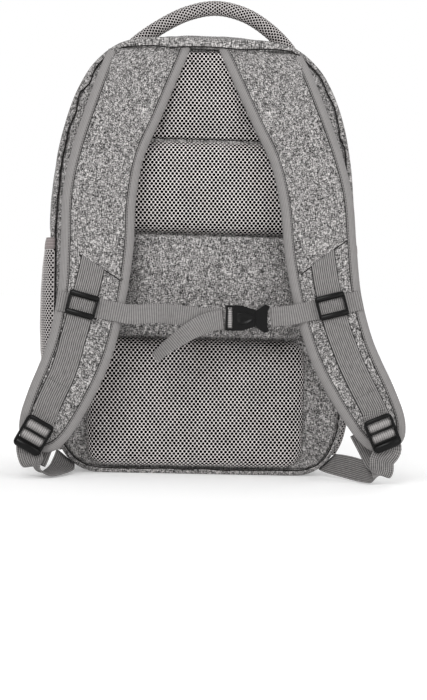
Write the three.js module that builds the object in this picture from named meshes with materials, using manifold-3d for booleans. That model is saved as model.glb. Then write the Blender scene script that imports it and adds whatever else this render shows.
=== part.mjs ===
// Laptop backpack, standing on its base and seen from the side that rests on the wearer's back.
// Millimetres, +Z up. +X is to the right of a viewer who faces the back panel, and +Y runs through the
// bag to its front. The origin is the centre of the base.
import * as THREE from "three";
import { mergeVertices } from "three/addons/utils/BufferGeometryUtils.js";
import Module from "manifold-3d";

const wasm = await Module();
wasm.setup();

// Driving sizes
const BASE_CENTRE_DEPTH = 67; // from the plane of the back panel to the centre of the base
const WALL = 4; // padded fabric of the bag's own panels
const GAP = 0.3; // clearance between pieces that are sewn or laid together
const BODY_HEIGHT = 463;
const BACK_CORNER = 14; // rounding from the back panel into the side gusset
const FRONT_CORNER = 46; // rounding from the side gusset into the front panel
const SIDE_TAPER = 0.06; // the bag narrows towards its front by this much for each millimetre of depth
const FRONT_BULGE = 9; // how far a filled bag's front stands out at its middle

// The bag in horizontal slices: half width at the back, and depth of the back and front faces
const BODY_ROWS = [
  { z: 0, half: 99, back: 9, front: 124 },
  { z: 5, half: 114, back: 2.5, front: 137 },
  { z: 12, half: 131, back: 0, front: 146 },
  { z: 22, half: 142, back: 0, front: 150 },
  { z: 36, half: 149, back: 0, front: 153 },
  { z: 70, half: 155, back: 0, front: 155 },
  { z: 165, half: 159, back: 0, front: 155 },
  { z: 265, half: 160, back: 0, front: 146 },
  { z: 320, half: 155.5, back: 0, front: 134 },
  { z: 360, half: 148.5, back: 0, front: 122 },
  { z: 392, half: 138.5, back: 0, front: 110 },
  { z: 420, half: 124, back: 0, front: 98 },
  { z: 438, half: 105, back: 0, front: 88 },
  { z: 450, half: 83, back: 6, front: 79 },
  { z: 459, half: 55, back: 16, front: 68 },
  { z: BODY_HEIGHT, half: 25, back: 28, front: 54 },
];

// How the fabric shell is divided into panels
const BASE_SEAM_Z = 12;
const TOP_SEAM_Z = 394;
const BACK_OPENING = 2; // depth at which the back panel closes the shell
const FRONT_SEAM = { depth: 137, slope: 0.13 }; // the seam leans back with height
const ZIP = { behindSeam: 26, slot: 9, tape: 8.2, coil: 3.4, lowZ: 256, recess: 0.6, thick: 2, proud: 1.3 };
const ZIP_PULL = { z: 318, body: [4, 7, 12], tab: [2, 7, 30], tabOut: 1, overlap: 2, lift: 3 };

// Back panel and what is sewn on it
const BACK_PANEL = { outer: 6, inner: 1.7, inset: 6.8, round: 1.5 };
const BACK_PANEL_LEVELS = [6.5, 9, 13, 19, 27, 40, 70, 165, 265, 320, 360, 392, 420, 436, 444];
const PIPING = { radius: 3, out: 3.5, depth: 2, sides: 6 };
const PAD_ROWS = [
  { name: "neck_pad", lowZ: 350, highZ: 442, lowHalf: 57, highHalf: 11, thick: 7, corner: 5 },
  { name: "upper_pad", lowZ: 252, highZ: 347, lowHalf: 106, highHalf: 100, thick: 11, corner: 16 },
  { name: "lower_pad", lowZ: 9, highZ: 142, lowHalf: 112, highHalf: 112, thick: 12, corner: 24 },
];
const PAD_CROWN = [
  { rise: 0, inset: 0 },
  { rise: 0.3, inset: 0.6 },
  { rise: 0.75, inset: 5 },
  { rise: 1, inset: 14 },
];
const SLEEVE = { lowZ: 145, highZ: 249, thick: 2.4, stand: 27, shift: 9 };
const SLEEVE_HALF = { flat: 76, foot: 94, tab: 104 };

// Carry handle: its centreline over the top of the bag
const HANDLE = { radius: 8, depth: 34, sides: 12, steps: 18 };
const HANDLE_ROWS = [
  { x: -86, z: 437 },
  { x: -75, z: 451 },
  { x: -50, z: 470 },
  { x: -20, z: 486 },
  { x: 11, z: 492.5 },
  { x: 42, z: 486 },
  { x: 67, z: 471 },
  { x: 87, z: 452 },
  { x: 96, z: 438 },
];

// Stretch pocket on each side
const POCKET = { backY: 8, frontY: 103, wall: 1.6, spans: 8, gap: 0.5 };
const POCKET_BAND = { height: 12, wall: 2.2, inward: 1.5 };
const POCKET_ROWS = [
  { z: 22, bulge: 0 },
  { z: 36, bulge: 4.5 },
  { z: 70, bulge: 9 },
  { z: 120, bulge: 10.8 },
  { z: 150, bulge: 10.8 },
  { z: 190, bulge: 9.6 },
  { z: 232, bulge: 8 },
];

// Shoulder strap centreline, from the seam at the top of the back panel to its rounded tip.
// stand is the distance from the back panel's plane to the middle of the padding.
const STRAP_ROWS = [
  { x: 49.5, z: 462, stand: 10, width: 74, thick: 4 },
  { x: 57.5, z: 444, stand: 10, width: 75, thick: 4 },
  { x: 68, z: 420, stand: 13, width: 76, thick: 9 },
  { x: 82, z: 386, stand: 21, width: 75, thick: 12 },
  { x: 101.5, z: 336, stand: 31, width: 71, thick: 12 },
  { x: 112, z: 288, stand: 41, width: 73, thick: 12 },
  { x: 115, z: 236, stand: 52, width: 72, thick: 12 },
  { x: 121, z: 184, stand: 62, width: 67, thick: 12 },
  { x: 132.5, z: 134, stand: 70, width: 64.5, thick: 12 },
  { x: 143, z: 107, stand: 76, width: 62.5, thick: 12 },
  { x: 155.5, z: 81, stand: 79, width: 60, thick: 11 },
  { x: 167.5, z: 56, stand: 80, width: 54, thick: 10 },
  { x: 173, z: 44, stand: 80, width: 47, thick: 9 },
  { x: 177.5, z: 34, stand: 80, width: 35, thick: 9 },
  { x: 179.5, z: 29, stand: 80, width: 20, thick: 8.4 },
];
const STRAP_TOP_Z = 443.4;
const STRAP_SWAY = { most: 10.5, noneAtZ: 340 }; // both straps hang this far to the right at the floor
const STRAP_END = { left: { out: 0, up: 0 }, right: { out: 3, up: 9 }, fadesAtZ: 190 }; // at the floor
const STRAP_EDGE = { half: 2.6, shoulder: 5 }; // half thickness at the edge, and how far in it is full
const BINDING = { reach: 7.5, wall: 1 };
// The padding is trimmed under the tape round the tip: the last station first
const STRAP_UNDER_TAPE = [
  { narrower: 1.6, thinner: 0.46 },
  { narrower: 1.6, thinner: 0.84 },
  { narrower: 1.6, thinner: 1 },
];

// Webbing and the plastic on it
const WEBBING = { wide: 25, narrow: 20, thick: 1.5 };
const WEBBING_RISE = { reach: 26, steep: 1.6 }; // over the chest strap, along the shoulder strap
const STRAP_WEBBING_ROWS = [
  { z: 228, left: 1.5, right: 0.3 },
  { z: 200, left: 5, right: 1 },
  { z: 172, left: 8.5, right: 1.5 },
  { z: 134, left: 10, right: 3 },
  { z: 100, left: 7, right: 2 },
  { z: 64, left: 6.5, right: 1 },
];
const SLIDER = { width: 31, height: 25, corner: 3.5, window: [26.4, 13.5], thick: 3, lift: 4.2 };
const SLIDER_Z = { left: 172, right: 178 };
const SLIDER_TURN = { left: -0.08, right: 0.03 };
const LOCK = { width: 30, height: 35, corner: 5, thick: 4.5, lift: 5.4 };
const LOCK_WINDOW = { size: [25, 9.2], at: [8.6, -2.8] };
const IN_LOCK = { under: 3.6, steps: [8, -5, -16] }; // the webbing's way through a lock, up from its middle
const LOCK_PLACE = { left: { z: 40.5, out: 7, turn: -0.1 }, right: { z: 53.5, out: -2, turn: -0.08 } };

// Chest strap, measured from the back panel's plane
const CHEST_ON_STRAP = [
  { out: 33, lift: 2.7 },
  { out: 27, lift: 2.7 },
  { out: 21.6, lift: 1.4 },
  { out: 15, lift: 1.3 },
  { out: -11, lift: 1.3 },
  { out: -18, lift: 1.4 },
  { out: -26.5, lift: 2.7 },
  { out: -40, lift: 2.7 },
];
const CHEST_LEFT_ROWS = [
  { x: -48, y: -72.6, z: 168.4, lean: 0.05, turn: 0.12 },
  { x: -31, y: -66.4, z: 167.4, lean: 0.04 },
  { x: -2, y: -66, z: 165, lean: 0 },
  { x: 18.5, y: -65, z: 164, lean: -0.04 },
];
const CHEST_RIGHT_ROWS = [{ x: 66.5, y: -65.8, z: 167.2, lean: -0.06 }];
const CHEST_TAIL_ROWS = [
  { x: 18, y: -67.8, z: 163.4, lean: -0.02, turn: 0 },
  { x: 6, y: -69.8, z: 161.4, lean: -0.12, turn: 0.05 },
  { x: -10, y: -74.6, z: 154.5, lean: -0.34, turn: 0.45 },
  { x: -27, y: -78, z: 143.5, lean: -0.56, turn: 0.85 },
  { x: -43, y: -78.5, z: 131, lean: -0.5, turn: 1.2 },
  { x: -51, y: -77, z: 123, lean: -0.5, turn: 1.3 },
];
const BUCKLE = { x: 42.4, y: 65, z: 165.5, tilt: 0.07, height: 26, thick: 8.5, split: 8 };

// The buckle's two halves in plan: across from its middle, and inwards from its height at one edge
const SOCKET_EDGE = [
  { x: -22.5, inward: 0 },
  { x: -6, inward: 0 },
  { x: BUCKLE.split, inward: 4.5 },
];
const PLUG_EDGE = [
  { x: BUCKLE.split + GAP, inward: 5 },
  { x: 13, inward: 2 },
  { x: 18, inward: -1.5 },
  { x: 22.5, inward: 0.5 },
  { x: 20.5, inward: 5 },
];
const SOCKET_WINDOW = { x: -18, width: 5, height: 21 };

// Adjusting webbing from each ladder lock to the bag's lower corner: places, and the way its width points
const LOWER_LEFT_ROWS = [
  { x: -171.5, y: -88, z: 14.5, wx: 0.82, wy: -0.16, wz: -0.46 },
  { x: -164.5, y: -84.5, z: 7.6, wx: 0.46, wy: -0.85, wz: -0.22 },
  { x: -156, y: -70, z: 3.6, wx: 0.66, wy: -0.74, wz: -0.05 },
  { x: -148.5, y: -50, z: 4, wx: 0.88, wy: -0.46, wz: -0.08 },
  { x: -142.5, y: -27, z: 6.4, wx: 0.92, wy: -0.3, wz: -0.22 },
  { x: -139.6, y: -7, z: 10.4, wx: 0.84, wy: -0.1, wz: -0.52 },
  { x: -138.4, y: 6, z: 15, wx: 0.74, wy: 0, wz: -0.67 },
];
const LOWER_RIGHT_ROWS = [
  { x: 182, y: -89.2, z: 25, wx: 1, wy: 0, wz: 0.12 },
  { x: 181, y: -92.2, z: 15, wx: 0.97, wy: 0.04, wz: 0.24 },
  { x: 178.5, y: -91.4, z: 9.6, wx: 0.88, wy: 0.12, wz: 0.44 },
  { x: 173, y: -85, z: 9.6, wx: 0.72, wy: 0.3, wz: 0.62 },
  { x: 165, y: -66, z: 11.2, wx: 0.55, wy: 0.34, wz: 0.76 },
  { x: 155.5, y: -42, z: 13, wx: 0.5, wy: 0.22, wz: 0.84 },
  { x: 147, y: -22, z: 14, wx: 0.58, wy: 0.1, wz: 0.8 },
  { x: 140.4, y: -5, z: 14.6, wx: 0.7, wy: 0, wz: 0.71 },
  { x: 138.4, y: 6, z: 15, wx: 0.74, wy: 0, wz: 0.67 },
];
const TAIL_LEFT_ROWS = [
  { x: -170.5, y: -84.5, z: 16.5, wx: 0.86, wy: -0.14, wz: -0.46 },
  { x: -168.5, y: -74, z: 20, wx: 0.9, wy: -0.05, wz: -0.42 },
  { x: -165, y: -67, z: 29, wx: 0.9, wy: 0, wz: -0.4 },
  { x: -159, y: -64, z: 42, wx: 0.9, wy: 0, wz: -0.4 },
];
const TAIL_RIGHT_ROWS = [
  { x: 181, y: -89.6, z: 17.5, wx: 0.97, wy: 0.04, wz: 0.24 },
  { x: 179, y: -76, z: 21, wx: 0.94, wy: 0, wz: 0.34 },
  { x: 173, y: -63, z: 35, wx: 0.92, wy: 0, wz: 0.38 },
  { x: 164, y: -58, z: 52, wx: 0.95, wy: 0, wz: 0.3 },
];

// Finishes
const FINISH = {
  heather: { color: 0x8f8b8a, roughness: 0.95, metalness: 0 },
  mesh: { color: 0xb9b4ae, roughness: 0.9, metalness: 0 },
  tape: { color: 0x938f8e, roughness: 0.85, metalness: 0 },
  webbing: { color: 0x858383, roughness: 0.85, metalness: 0 },
  plastic: { color: 0x1a1a1a, roughness: 0.45, metalness: 0 },
  zip: { color: 0x3a3938, roughness: 0.7, metalness: 0 },
};

// The bag's own group: its zero depth is the plane of the back panel
const bag = new THREE.Group();
bag.position.y = -BASE_CENTRE_DEPTH;

function place(name, geometry, finish) {
  const mesh = new THREE.Mesh(geometry, new THREE.MeshStandardMaterial(FINISH[finish]));
  mesh.name = name;
  bag.add(mesh);
  return mesh;
}

// Mesh building

function signedVolume(points, faces) {
  return faces.reduce((sum, [a, b, c]) => sum + points[a].dot(points[b].clone().cross(points[c])) / 6, 0);
}

function closedGeometry(points, faces) {
  const outward = signedVolume(points, faces) > 0;
  const index = faces.flatMap(([a, b, c]) => (outward ? [a, b, c] : [a, c, b]));
  return new THREE.BufferGeometry().setFromPoints(points).setIndex(index);
}

// A closed skin through sections that have equal point counts. Each section runs out along one edge and back
// along the other, so an end is capped by joining each point to its partner. A ring closes on itself instead.
function loft(sections, ring = false) {
  const count = sections[0].length;
  const faces = [];
  const spans = ring ? sections.length : sections.length - 1;
  for (let i = 0; i < spans; i++) {
    const here = i * count;
    const next = ((i + 1) % sections.length) * count;
    for (let k = 0; k < count; k++) {
      const m = (k + 1) % count;
      faces.push([here + k, next + k, next + m], [here + k, next + m, here + m]);
    }
  }
  const end = (sections.length - 1) * count;
  for (let a = 0; !ring && a < Math.floor(count / 2) - (count % 2 ? 0 : 1); a++) {
    const d = count - 1 - a;
    faces.push([a, a + 1, d], [end + a, end + d, end + a + 1]);
    if (a + 1 < d - 1) faces.push([a + 1, d - 1, d], [end + a + 1, end + d, end + d - 1]);
  }
  return closedGeometry(sections.flat(), faces);
}

function solidOf(geometry) {
  const bare = new THREE.BufferGeometry().setAttribute("position", geometry.getAttribute("position"));
  if (geometry.index) bare.setIndex(geometry.index);
  const merged = mergeVertices(bare, 1e-4);
  return new wasm.Manifold(
    new wasm.Mesh({
      numProp: 3,
      vertProperties: new Float32Array(merged.getAttribute("position").array),
      triVerts: new Uint32Array(merged.index.array),
    }),
  );
}

function geometryOf(solid) {
  const mesh = solid.getMesh();
  return new THREE.BufferGeometry()
    .setAttribute("position", new THREE.BufferAttribute(new Float32Array(mesh.vertProperties), 3))
    .setIndex(new THREE.BufferAttribute(new Uint32Array(mesh.triVerts), 1));
}

const FAR = 1200;
const above = (z) => solidOf(new THREE.BoxGeometry(FAR, FAR, FAR).translate(0, 0, z + FAR / 2));
const rightOf = (x) => solidOf(new THREE.BoxGeometry(FAR, FAR, FAR).translate(x + FAR / 2, 0, 0));
const deeperThan = (depth, slope = 0) =>
  solidOf(
    new THREE.BoxGeometry(FAR, FAR, FAR)
      .translate(0, FAR / 2, 0)
      .rotateX(Math.atan(slope))
      .translate(0, depth, 0),
  );

function linear(rows, key, at) {
  const high = rows.findIndex((row) => row.z >= at);
  if (high <= 0) return rows[high === 0 ? 0 : rows.length - 1][key];
  const [a, b] = [rows[high - 1], rows[high]];
  return a[key] + ((b[key] - a[key]) * (at - a.z)) / (b.z - a.z);
}

// Fabric shell

// One horizontal slice of the bag, grown or shrunk all round
function bodySlice(row, grow) {
  const half = row.half + grow;
  const back = row.back - grow;
  const front = row.front + grow;
  const depth = front - back;
  const backR = Math.min(BACK_CORNER + grow, depth * 0.3);
  const frontR = Math.min(FRONT_CORNER + grow, depth * 0.45, half * 0.7);
  const outline = [];
  const corner = (sx, cy, radius, from, steps) => {
    for (let i = 0; i <= steps; i++) {
      const angle = from + (i / steps) * (Math.PI / 2);
      outline.push([sx * (half - radius) + radius * Math.cos(angle), cy + radius * Math.sin(angle)]);
    }
  };
  corner(1, back + backR, backR, -Math.PI / 2, 3);
  corner(1, front - frontR, frontR, 0, 5);
  for (const share of [0.5, 0, -0.5]) outline.push([share * (half - frontR), front]);
  corner(-1, front - frontR, frontR, Math.PI / 2, 5);
  corner(-1, back + backR, backR, Math.PI, 3);
  return outline.map(([x, y]) => {
    const inwards = (y - back) / depth;
    const bulge = FRONT_BULGE * inwards ** 3 * (1 - (x / half) ** 2) * Math.min(1, row.z / 60);
    return [x * (1 - (SIDE_TAPER * (y - back)) / half), y + bulge];
  });
}

function bodyLoft(grow) {
  const height = BODY_HEIGHT + 2 * grow;
  const sections = BODY_ROWS.map((row) =>
    bodySlice(row, grow).map(([x, y]) => new THREE.Vector3(x, y, (row.z / BODY_HEIGHT) * height - grow)),
  );
  return solidOf(loft(sections));
}

const sideX = (y, z) => linear(BODY_ROWS, "half", z) - SIDE_TAPER * (y - linear(BODY_ROWS, "back", z));

function buildShell() {
  const { depth, slope } = FRONT_SEAM;
  const zipDepth = depth - ZIP.behindSeam;
  const slot = (width, low) =>
    deeperThan(zipDepth - width / 2, slope)
      .subtract(deeperThan(zipDepth + width / 2, slope))
      .intersect(above(low));
  const wall = bodyLoft(0).subtract(bodyLoft(-WALL)).intersect(deeperThan(BACK_OPENING));
  const upper = wall.intersect(above(BASE_SEAM_Z + GAP / 2));
  const gusset = upper.subtract(deeperThan(depth - GAP / 2, slope)).subtract(slot(ZIP.slot, ZIP.lowZ));
  const crown = gusset.intersect(above(TOP_SEAM_Z + GAP / 2));
  const sides = gusset.subtract(above(TOP_SEAM_Z - GAP / 2));
  place("base_panel", geometryOf(wall.subtract(above(BASE_SEAM_Z - GAP / 2))), "heather");
  place("front_panel", geometryOf(upper.intersect(deeperThan(depth + GAP / 2, slope))), "heather");
  place("side_gusset_left", geometryOf(sides.subtract(rightOf(0))), "heather");
  place("side_gusset_right", geometryOf(sides.intersect(rightOf(0))), "heather");
  place("top_gusset_rear", geometryOf(crown.subtract(deeperThan(zipDepth, slope))), "heather");
  place("top_gusset_front", geometryOf(crown.intersect(deeperThan(zipDepth, slope))), "heather");

  const tape = bodyLoft(-ZIP.recess).subtract(bodyLoft(-ZIP.recess - ZIP.thick));
  const coil = bodyLoft(ZIP.proud).subtract(bodyLoft(-ZIP.recess - ZIP.thick / 2));
  const zip = tape
    .intersect(slot(ZIP.tape, ZIP.lowZ + GAP))
    .add(coil.intersect(slot(ZIP.coil, ZIP.lowZ + ZIP.tape / 2)));
  place("main_zip", geometryOf(zip), "zip");

  const pullDepth = zipDepth - slope * ZIP_PULL.z;
  const surface = sideX(pullDepth, ZIP_PULL.z) + ZIP.proud;
  const tabDrop = (ZIP_PULL.body[2] + ZIP_PULL.tab[2]) / 2 - ZIP_PULL.overlap;
  const slider = new THREE.BoxGeometry(...ZIP_PULL.body);
  const tab = new THREE.BoxGeometry(...ZIP_PULL.tab).translate(ZIP_PULL.tabOut, 0, -tabDrop);
  const pull = place("zip_pull", geometryOf(solidOf(slider).add(solidOf(tab))), "plastic");
  pull.position.set(surface + ZIP_PULL.lift, pullDepth, ZIP_PULL.z);
}

// Back panel, its piping, pads and the luggage sleeve

function backOutline(grow) {
  const right = BACK_PANEL_LEVELS.map((z) => {
    const half = linear(BODY_ROWS, "half", z) - BACK_PANEL.inset;
    return new THREE.Vector2(half, z);
  });
  const outline = [...right, ...right.map((p) => new THREE.Vector2(-p.x, p.y)).reverse()];
  return outline.map((p, i) => {
    const before = outline[(i + outline.length - 1) % outline.length];
    const after = outline[(i + 1) % outline.length];
    const way = after.clone().sub(before).normalize();
    return new THREE.Vector2(p.x + way.y * grow, p.y - way.x * grow);
  });
}

function buildBackPanel() {
  const { outer, inner, round } = BACK_PANEL;
  const layers = [
    { y: inner, grow: 0 },
    { y: -outer + round, grow: 0 },
    { y: -outer, grow: -round },
  ];
  const sections = layers.map(({ y, grow }) =>
    backOutline(grow).map((p) => new THREE.Vector3(p.x, y, p.y)),
  );
  place("back_panel", loft(sections), "heather");

  const path = backOutline(PIPING.out);
  const rings = path.map((p, i) => {
    const before = path[(i + path.length - 1) % path.length];
    const after = path[(i + 1) % path.length];
    const way = after.clone().sub(before).normalize();
    return Array.from({ length: PIPING.sides }, (_, k) => {
      const angle = (k / PIPING.sides) * 2 * Math.PI;
      const out = PIPING.radius * Math.cos(angle);
      const depth = PIPING.radius * Math.sin(angle) - PIPING.depth;
      return new THREE.Vector3(p.x + way.y * out, depth, p.y - way.x * out);
    });
  });
  place("back_piping", loft(rings, true), "heather");
}

// A rounded trapezium, drawn inside its own corners
function padOutline({ lowZ, highZ, lowHalf, highHalf, corner }, inset) {
  const radius = Math.max(corner - inset / 2, 3);
  const corners = [
    [lowHalf - inset, lowZ + inset],
    [highHalf - inset * (highHalf < 20 ? 0.45 : 1), highZ - inset],
  ];
  const loop = [corners[0], corners[1], [-corners[1][0], corners[1][1]], [-corners[0][0], corners[0][1]]];
  return loop.flatMap(([x, z], i) => {
    const point = new THREE.Vector2(x, z);
    const before = new THREE.Vector2(...loop[(i + 3) % 4]).sub(point);
    const after = new THREE.Vector2(...loop[(i + 1) % 4]).sub(point);
    const start = point.clone().addScaledVector(before, Math.min(radius / before.length(), 0.45));
    const end = point.clone().addScaledVector(after, Math.min(radius / after.length(), 0.45));
    return new THREE.QuadraticBezierCurve(start, point, end).getPoints(4);
  });
}

function buildPads() {
  for (const pad of PAD_ROWS) {
    const sections = PAD_CROWN.map(({ rise, inset }) => {
      const y = -BACK_PANEL.outer - GAP - rise * pad.thick;
      return padOutline(pad, inset).map((p) => new THREE.Vector3(p.x, y, p.y));
    });
    place(pad.name, loft(sections), "mesh");
  }
}

function buildSleeve() {
  const { lowZ, highZ, thick, stand, shift } = SLEEVE;
  const { flat: flatHalf, foot: footHalf, tab: tabHalf } = SLEEVE_HALF;
  const foot = -BACK_PANEL.outer - GAP;
  const front = [
    [-tabHalf, foot - thick],
    [-footHalf, foot - thick],
    [shift - flatHalf - 5, -stand + 3.5],
    [shift - flatHalf + 3, -stand],
    [shift + flatHalf - 3, -stand],
    [shift + flatHalf + 5, -stand + 3.5],
    [footHalf + shift, foot - thick],
    [tabHalf + shift, foot - thick],
  ];
  const behind = [
    [-tabHalf, foot],
    [-footHalf + thick, foot],
    [shift - flatHalf - 3.5, -stand + 3.5 + thick],
    [shift - flatHalf + 3, -stand + thick],
    [shift + flatHalf - 3, -stand + thick],
    [shift + flatHalf + 3.5, -stand + 3.5 + thick],
    [footHalf + shift - thick, foot],
    [tabHalf + shift, foot],
  ];
  const shape = new THREE.Shape([...front, ...behind.reverse()].map(([x, y]) => new THREE.Vector2(x, y)));
  const geometry = new THREE.ExtrudeGeometry(shape, { depth: highZ - lowZ, bevelEnabled: false });
  place("trolley_sleeve", geometry.translate(0, 0, lowZ), "heather");
}

function buildHandle() {
  const { radius, depth, sides, steps } = HANDLE;
  const path = new THREE.CatmullRomCurve3(HANDLE_ROWS.map(({ x, z }) => new THREE.Vector3(x, depth, z)));
  const section = new THREE.Shape(
    Array.from({ length: sides }, (_, k) => {
      const angle = (k / sides) * 2 * Math.PI;
      return new THREE.Vector2(radius * Math.cos(angle), radius * Math.sin(angle));
    }),
  );
  const tube = new THREE.ExtrudeGeometry(section, { steps, extrudePath: path, bevelEnabled: false });
  place("carry_handle", geometryOf(solidOf(tube).subtract(bodyLoft(GAP))), "mesh");
}

// Side pockets

function pocketSection(side, z, bulge, wall) {
  const across = (off) =>
    Array.from({ length: POCKET.spans + 1 }, (_, i) => {
      const share = i / POCKET.spans;
      const y = POCKET.backY + share * (POCKET.frontY - POCKET.backY);
      const stand = POCKET.gap + bulge * Math.sin(Math.PI * share) + off;
      return new THREE.Vector3(side * (sideX(y, z) + stand), y, z);
    });
  return [...across(0), ...across(wall).reverse()];
}

function buildPocket(side, word) {
  const { z: topZ, bulge: topBulge } = POCKET_ROWS[POCKET_ROWS.length - 1];
  const sections = POCKET_ROWS.map(({ z, bulge }) => pocketSection(side, z, bulge, POCKET.wall));
  place(`side_pocket_${word}`, loft(sections), "mesh");
  const band = [topZ + GAP, topZ + POCKET_BAND.height].map((z, i) =>
    pocketSection(side, z, topBulge - POCKET_BAND.inward * i, POCKET_BAND.wall),
  );
  place(`pocket_band_${word}`, loft(band), "tape");
}

// Shoulder straps

function strapLine(side) {
  const { out, up } = side < 0 ? STRAP_END.left : STRAP_END.right;
  const line = new THREE.CatmullRomCurve3(
    STRAP_ROWS.map(({ x, z, stand }) => {
      const sway = STRAP_SWAY.most * (1 - z / STRAP_SWAY.noneAtZ);
      const low = Math.max(0, 1 - z / STRAP_END.fadesAtZ);
      return new THREE.Vector3(side * (x + out * low) + sway, -stand, z + up * low);
    }),
  );
  const sizes = new THREE.CatmullRomCurve3(
    STRAP_ROWS.map(({ width, thick }) => new THREE.Vector3(width, thick, 0)),
  );
  const stationAt = (t) => {
    const along = line.getTangent(t);
    const across = along.clone().cross(new THREE.Vector3(0, -1, 0)).normalize();
    if (across.x * side < 0) across.negate();
    const normal = across.clone().cross(along).normalize();
    if (normal.y > 0) normal.negate();
    const { x: width, y: thick } = sizes.getPoint(t);
    return { centre: line.getPoint(t), along, across, normal, width, thick };
  };
  const spans = STRAP_ROWS.length - 1;
  const stops = STRAP_ROWS.flatMap((_, i) => (i < 10 ? [i / spans, (i + 0.5) / spans] : [i / spans]));
  const atHeight = (z) => {
    let [low, high] = [0, 1];
    for (let i = 0; i < 40; i++) {
      const middle = (low + high) / 2;
      if (line.getPoint(middle).z > z) low = middle;
      else high = middle;
    }
    return low;
  };
  return { stops, stationAt, atHeight };
}

function strapSection({ centre, across, normal, width, thick }) {
  const half = width / 2;
  const full = thick / 2;
  const edge = Math.min(STRAP_EDGE.half, full * 0.6);
  const shoulder = Math.min(STRAP_EDGE.shoulder, half * 0.6);
  const profile = [
    [-half, edge], [-half + shoulder, full - 0.4], [0, full], [half - shoulder, full - 0.4], [half, edge],
    [half, -edge], [half - shoulder, 0.4 - full], [0, -full], [shoulder - half, 0.4 - full], [-half, -edge],
  ];
  return profile.map(([a, n]) => centre.clone().addScaledVector(across, a).addScaledVector(normal, n));
}

// Edge tape: a channel that runs down the outer edge, round the tip and up the inner edge
function bindingSections(stations, side) {
  const edge = [...stations.map((s) => [s, 1]), ...stations.slice().reverse().map((s) => [s, -1])];
  const points = edge.map(([s, way]) => s.centre.clone().addScaledVector(s.across, (way * s.width) / 2));
  const { reach, wall } = BINDING;
  return edge.map(([s], i) => {
    const before = points[Math.max(i - 1, 0)];
    const after = points[Math.min(i + 1, points.length - 1)];
    const outward = after.clone().sub(before).cross(s.normal).normalize().multiplyScalar(-side);
    const full = s.thick / 2 + GAP;
    const rim = Math.min(STRAP_EDGE.half, s.thick * 0.3) + GAP;
    const inset = Math.min(reach, s.width * 0.32);
    const shoulder = Math.min(STRAP_EDGE.shoulder, s.width * 0.3);
    const outer = [
      [-inset, full + wall], [-shoulder, full + wall], [GAP + wall, rim + wall * 0.7],
      [GAP + wall, -rim - wall * 0.7], [-shoulder, -full - wall], [-inset, -full - wall],
    ];
    const inner = [
      [-inset, -full], [-shoulder, -full], [GAP, -rim],
      [GAP, rim], [-shoulder, full], [-inset, full],
    ];
    return [...outer, ...inner].map(([o, n]) =>
      points[i].clone().addScaledVector(outward, o).addScaledVector(s.normal, n),
    );
  });
}

// A flat strip through stations that each have a centre, a width direction and a normal
function ribbon(stations, width, thick) {
  const [w, t] = [width / 2, thick / 2];
  const profile = [[-w, -t], [w, -t], [w, t], [-w, t]];
  const sections = stations.map(({ centre, across, normal }) =>
    profile.map(([a, n]) => centre.clone().addScaledVector(across, a).addScaledVector(normal, n)),
  );
  return loft(sections);
}

// A frame that lies on a strap: its plan is turned to the strap's own directions.
function layOnStrap(mesh, station, lift, turn = 0) {
  const basis = new THREE.Matrix4().makeBasis(
    station.across.clone().multiplyScalar(Math.sign(station.across.x)),
    station.along.clone().negate(),
    station.normal,
  );
  if (basis.determinant() < 0) throw new Error("strap frame is left-handed");
  mesh.quaternion.setFromRotationMatrix(basis);
  mesh.rotateZ(turn);
  mesh.position.copy(station.centre).addScaledVector(station.normal, station.thick / 2 + lift);
}

function roundedPlan(width, height, radius) {
  const plan = new THREE.Shape();
  const [w, h] = [width / 2, height / 2];
  plan.absarc(w - radius, h - radius, radius, 0, Math.PI / 2);
  plan.absarc(-w + radius, h - radius, radius, Math.PI / 2, Math.PI);
  plan.absarc(-w + radius, -h + radius, radius, Math.PI, Math.PI * 1.5);
  plan.absarc(w - radius, -h + radius, radius, Math.PI * 1.5, Math.PI * 2);
  return plan;
}

function windowAt(width, height, up, right = 0) {
  const [w, h] = [width / 2, height / 2];
  return new THREE.Path([
    new THREE.Vector2(right - w, up - h),
    new THREE.Vector2(right + w, up - h),
    new THREE.Vector2(right + w, up + h),
    new THREE.Vector2(right - w, up + h),
  ]);
}

function frameGeometry(width, height, corner, windows, thick) {
  const plan = roundedPlan(width, height, corner);
  plan.holes.push(...windows);
  return new THREE.ExtrudeGeometry(plan, { depth: thick, bevelEnabled: false, curveSegments: 3 });
}

// Height of the strap webbing over the padding: it rises where the chest strap passes under it
function webbingLift(fromSlider) {
  const near = Math.max(0, 1 - (fromSlider / WEBBING_RISE.reach) ** 2);
  return GAP + WEBBING.thick / 2 + (WEBBING.thick + 2 * GAP) * Math.min(1, near * WEBBING_RISE.steep);
}

// A strap's station moved sideways on its face
function movedOut(station, out) {
  return { ...station, centre: station.centre.clone().addScaledVector(station.across, out) };
}

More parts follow.
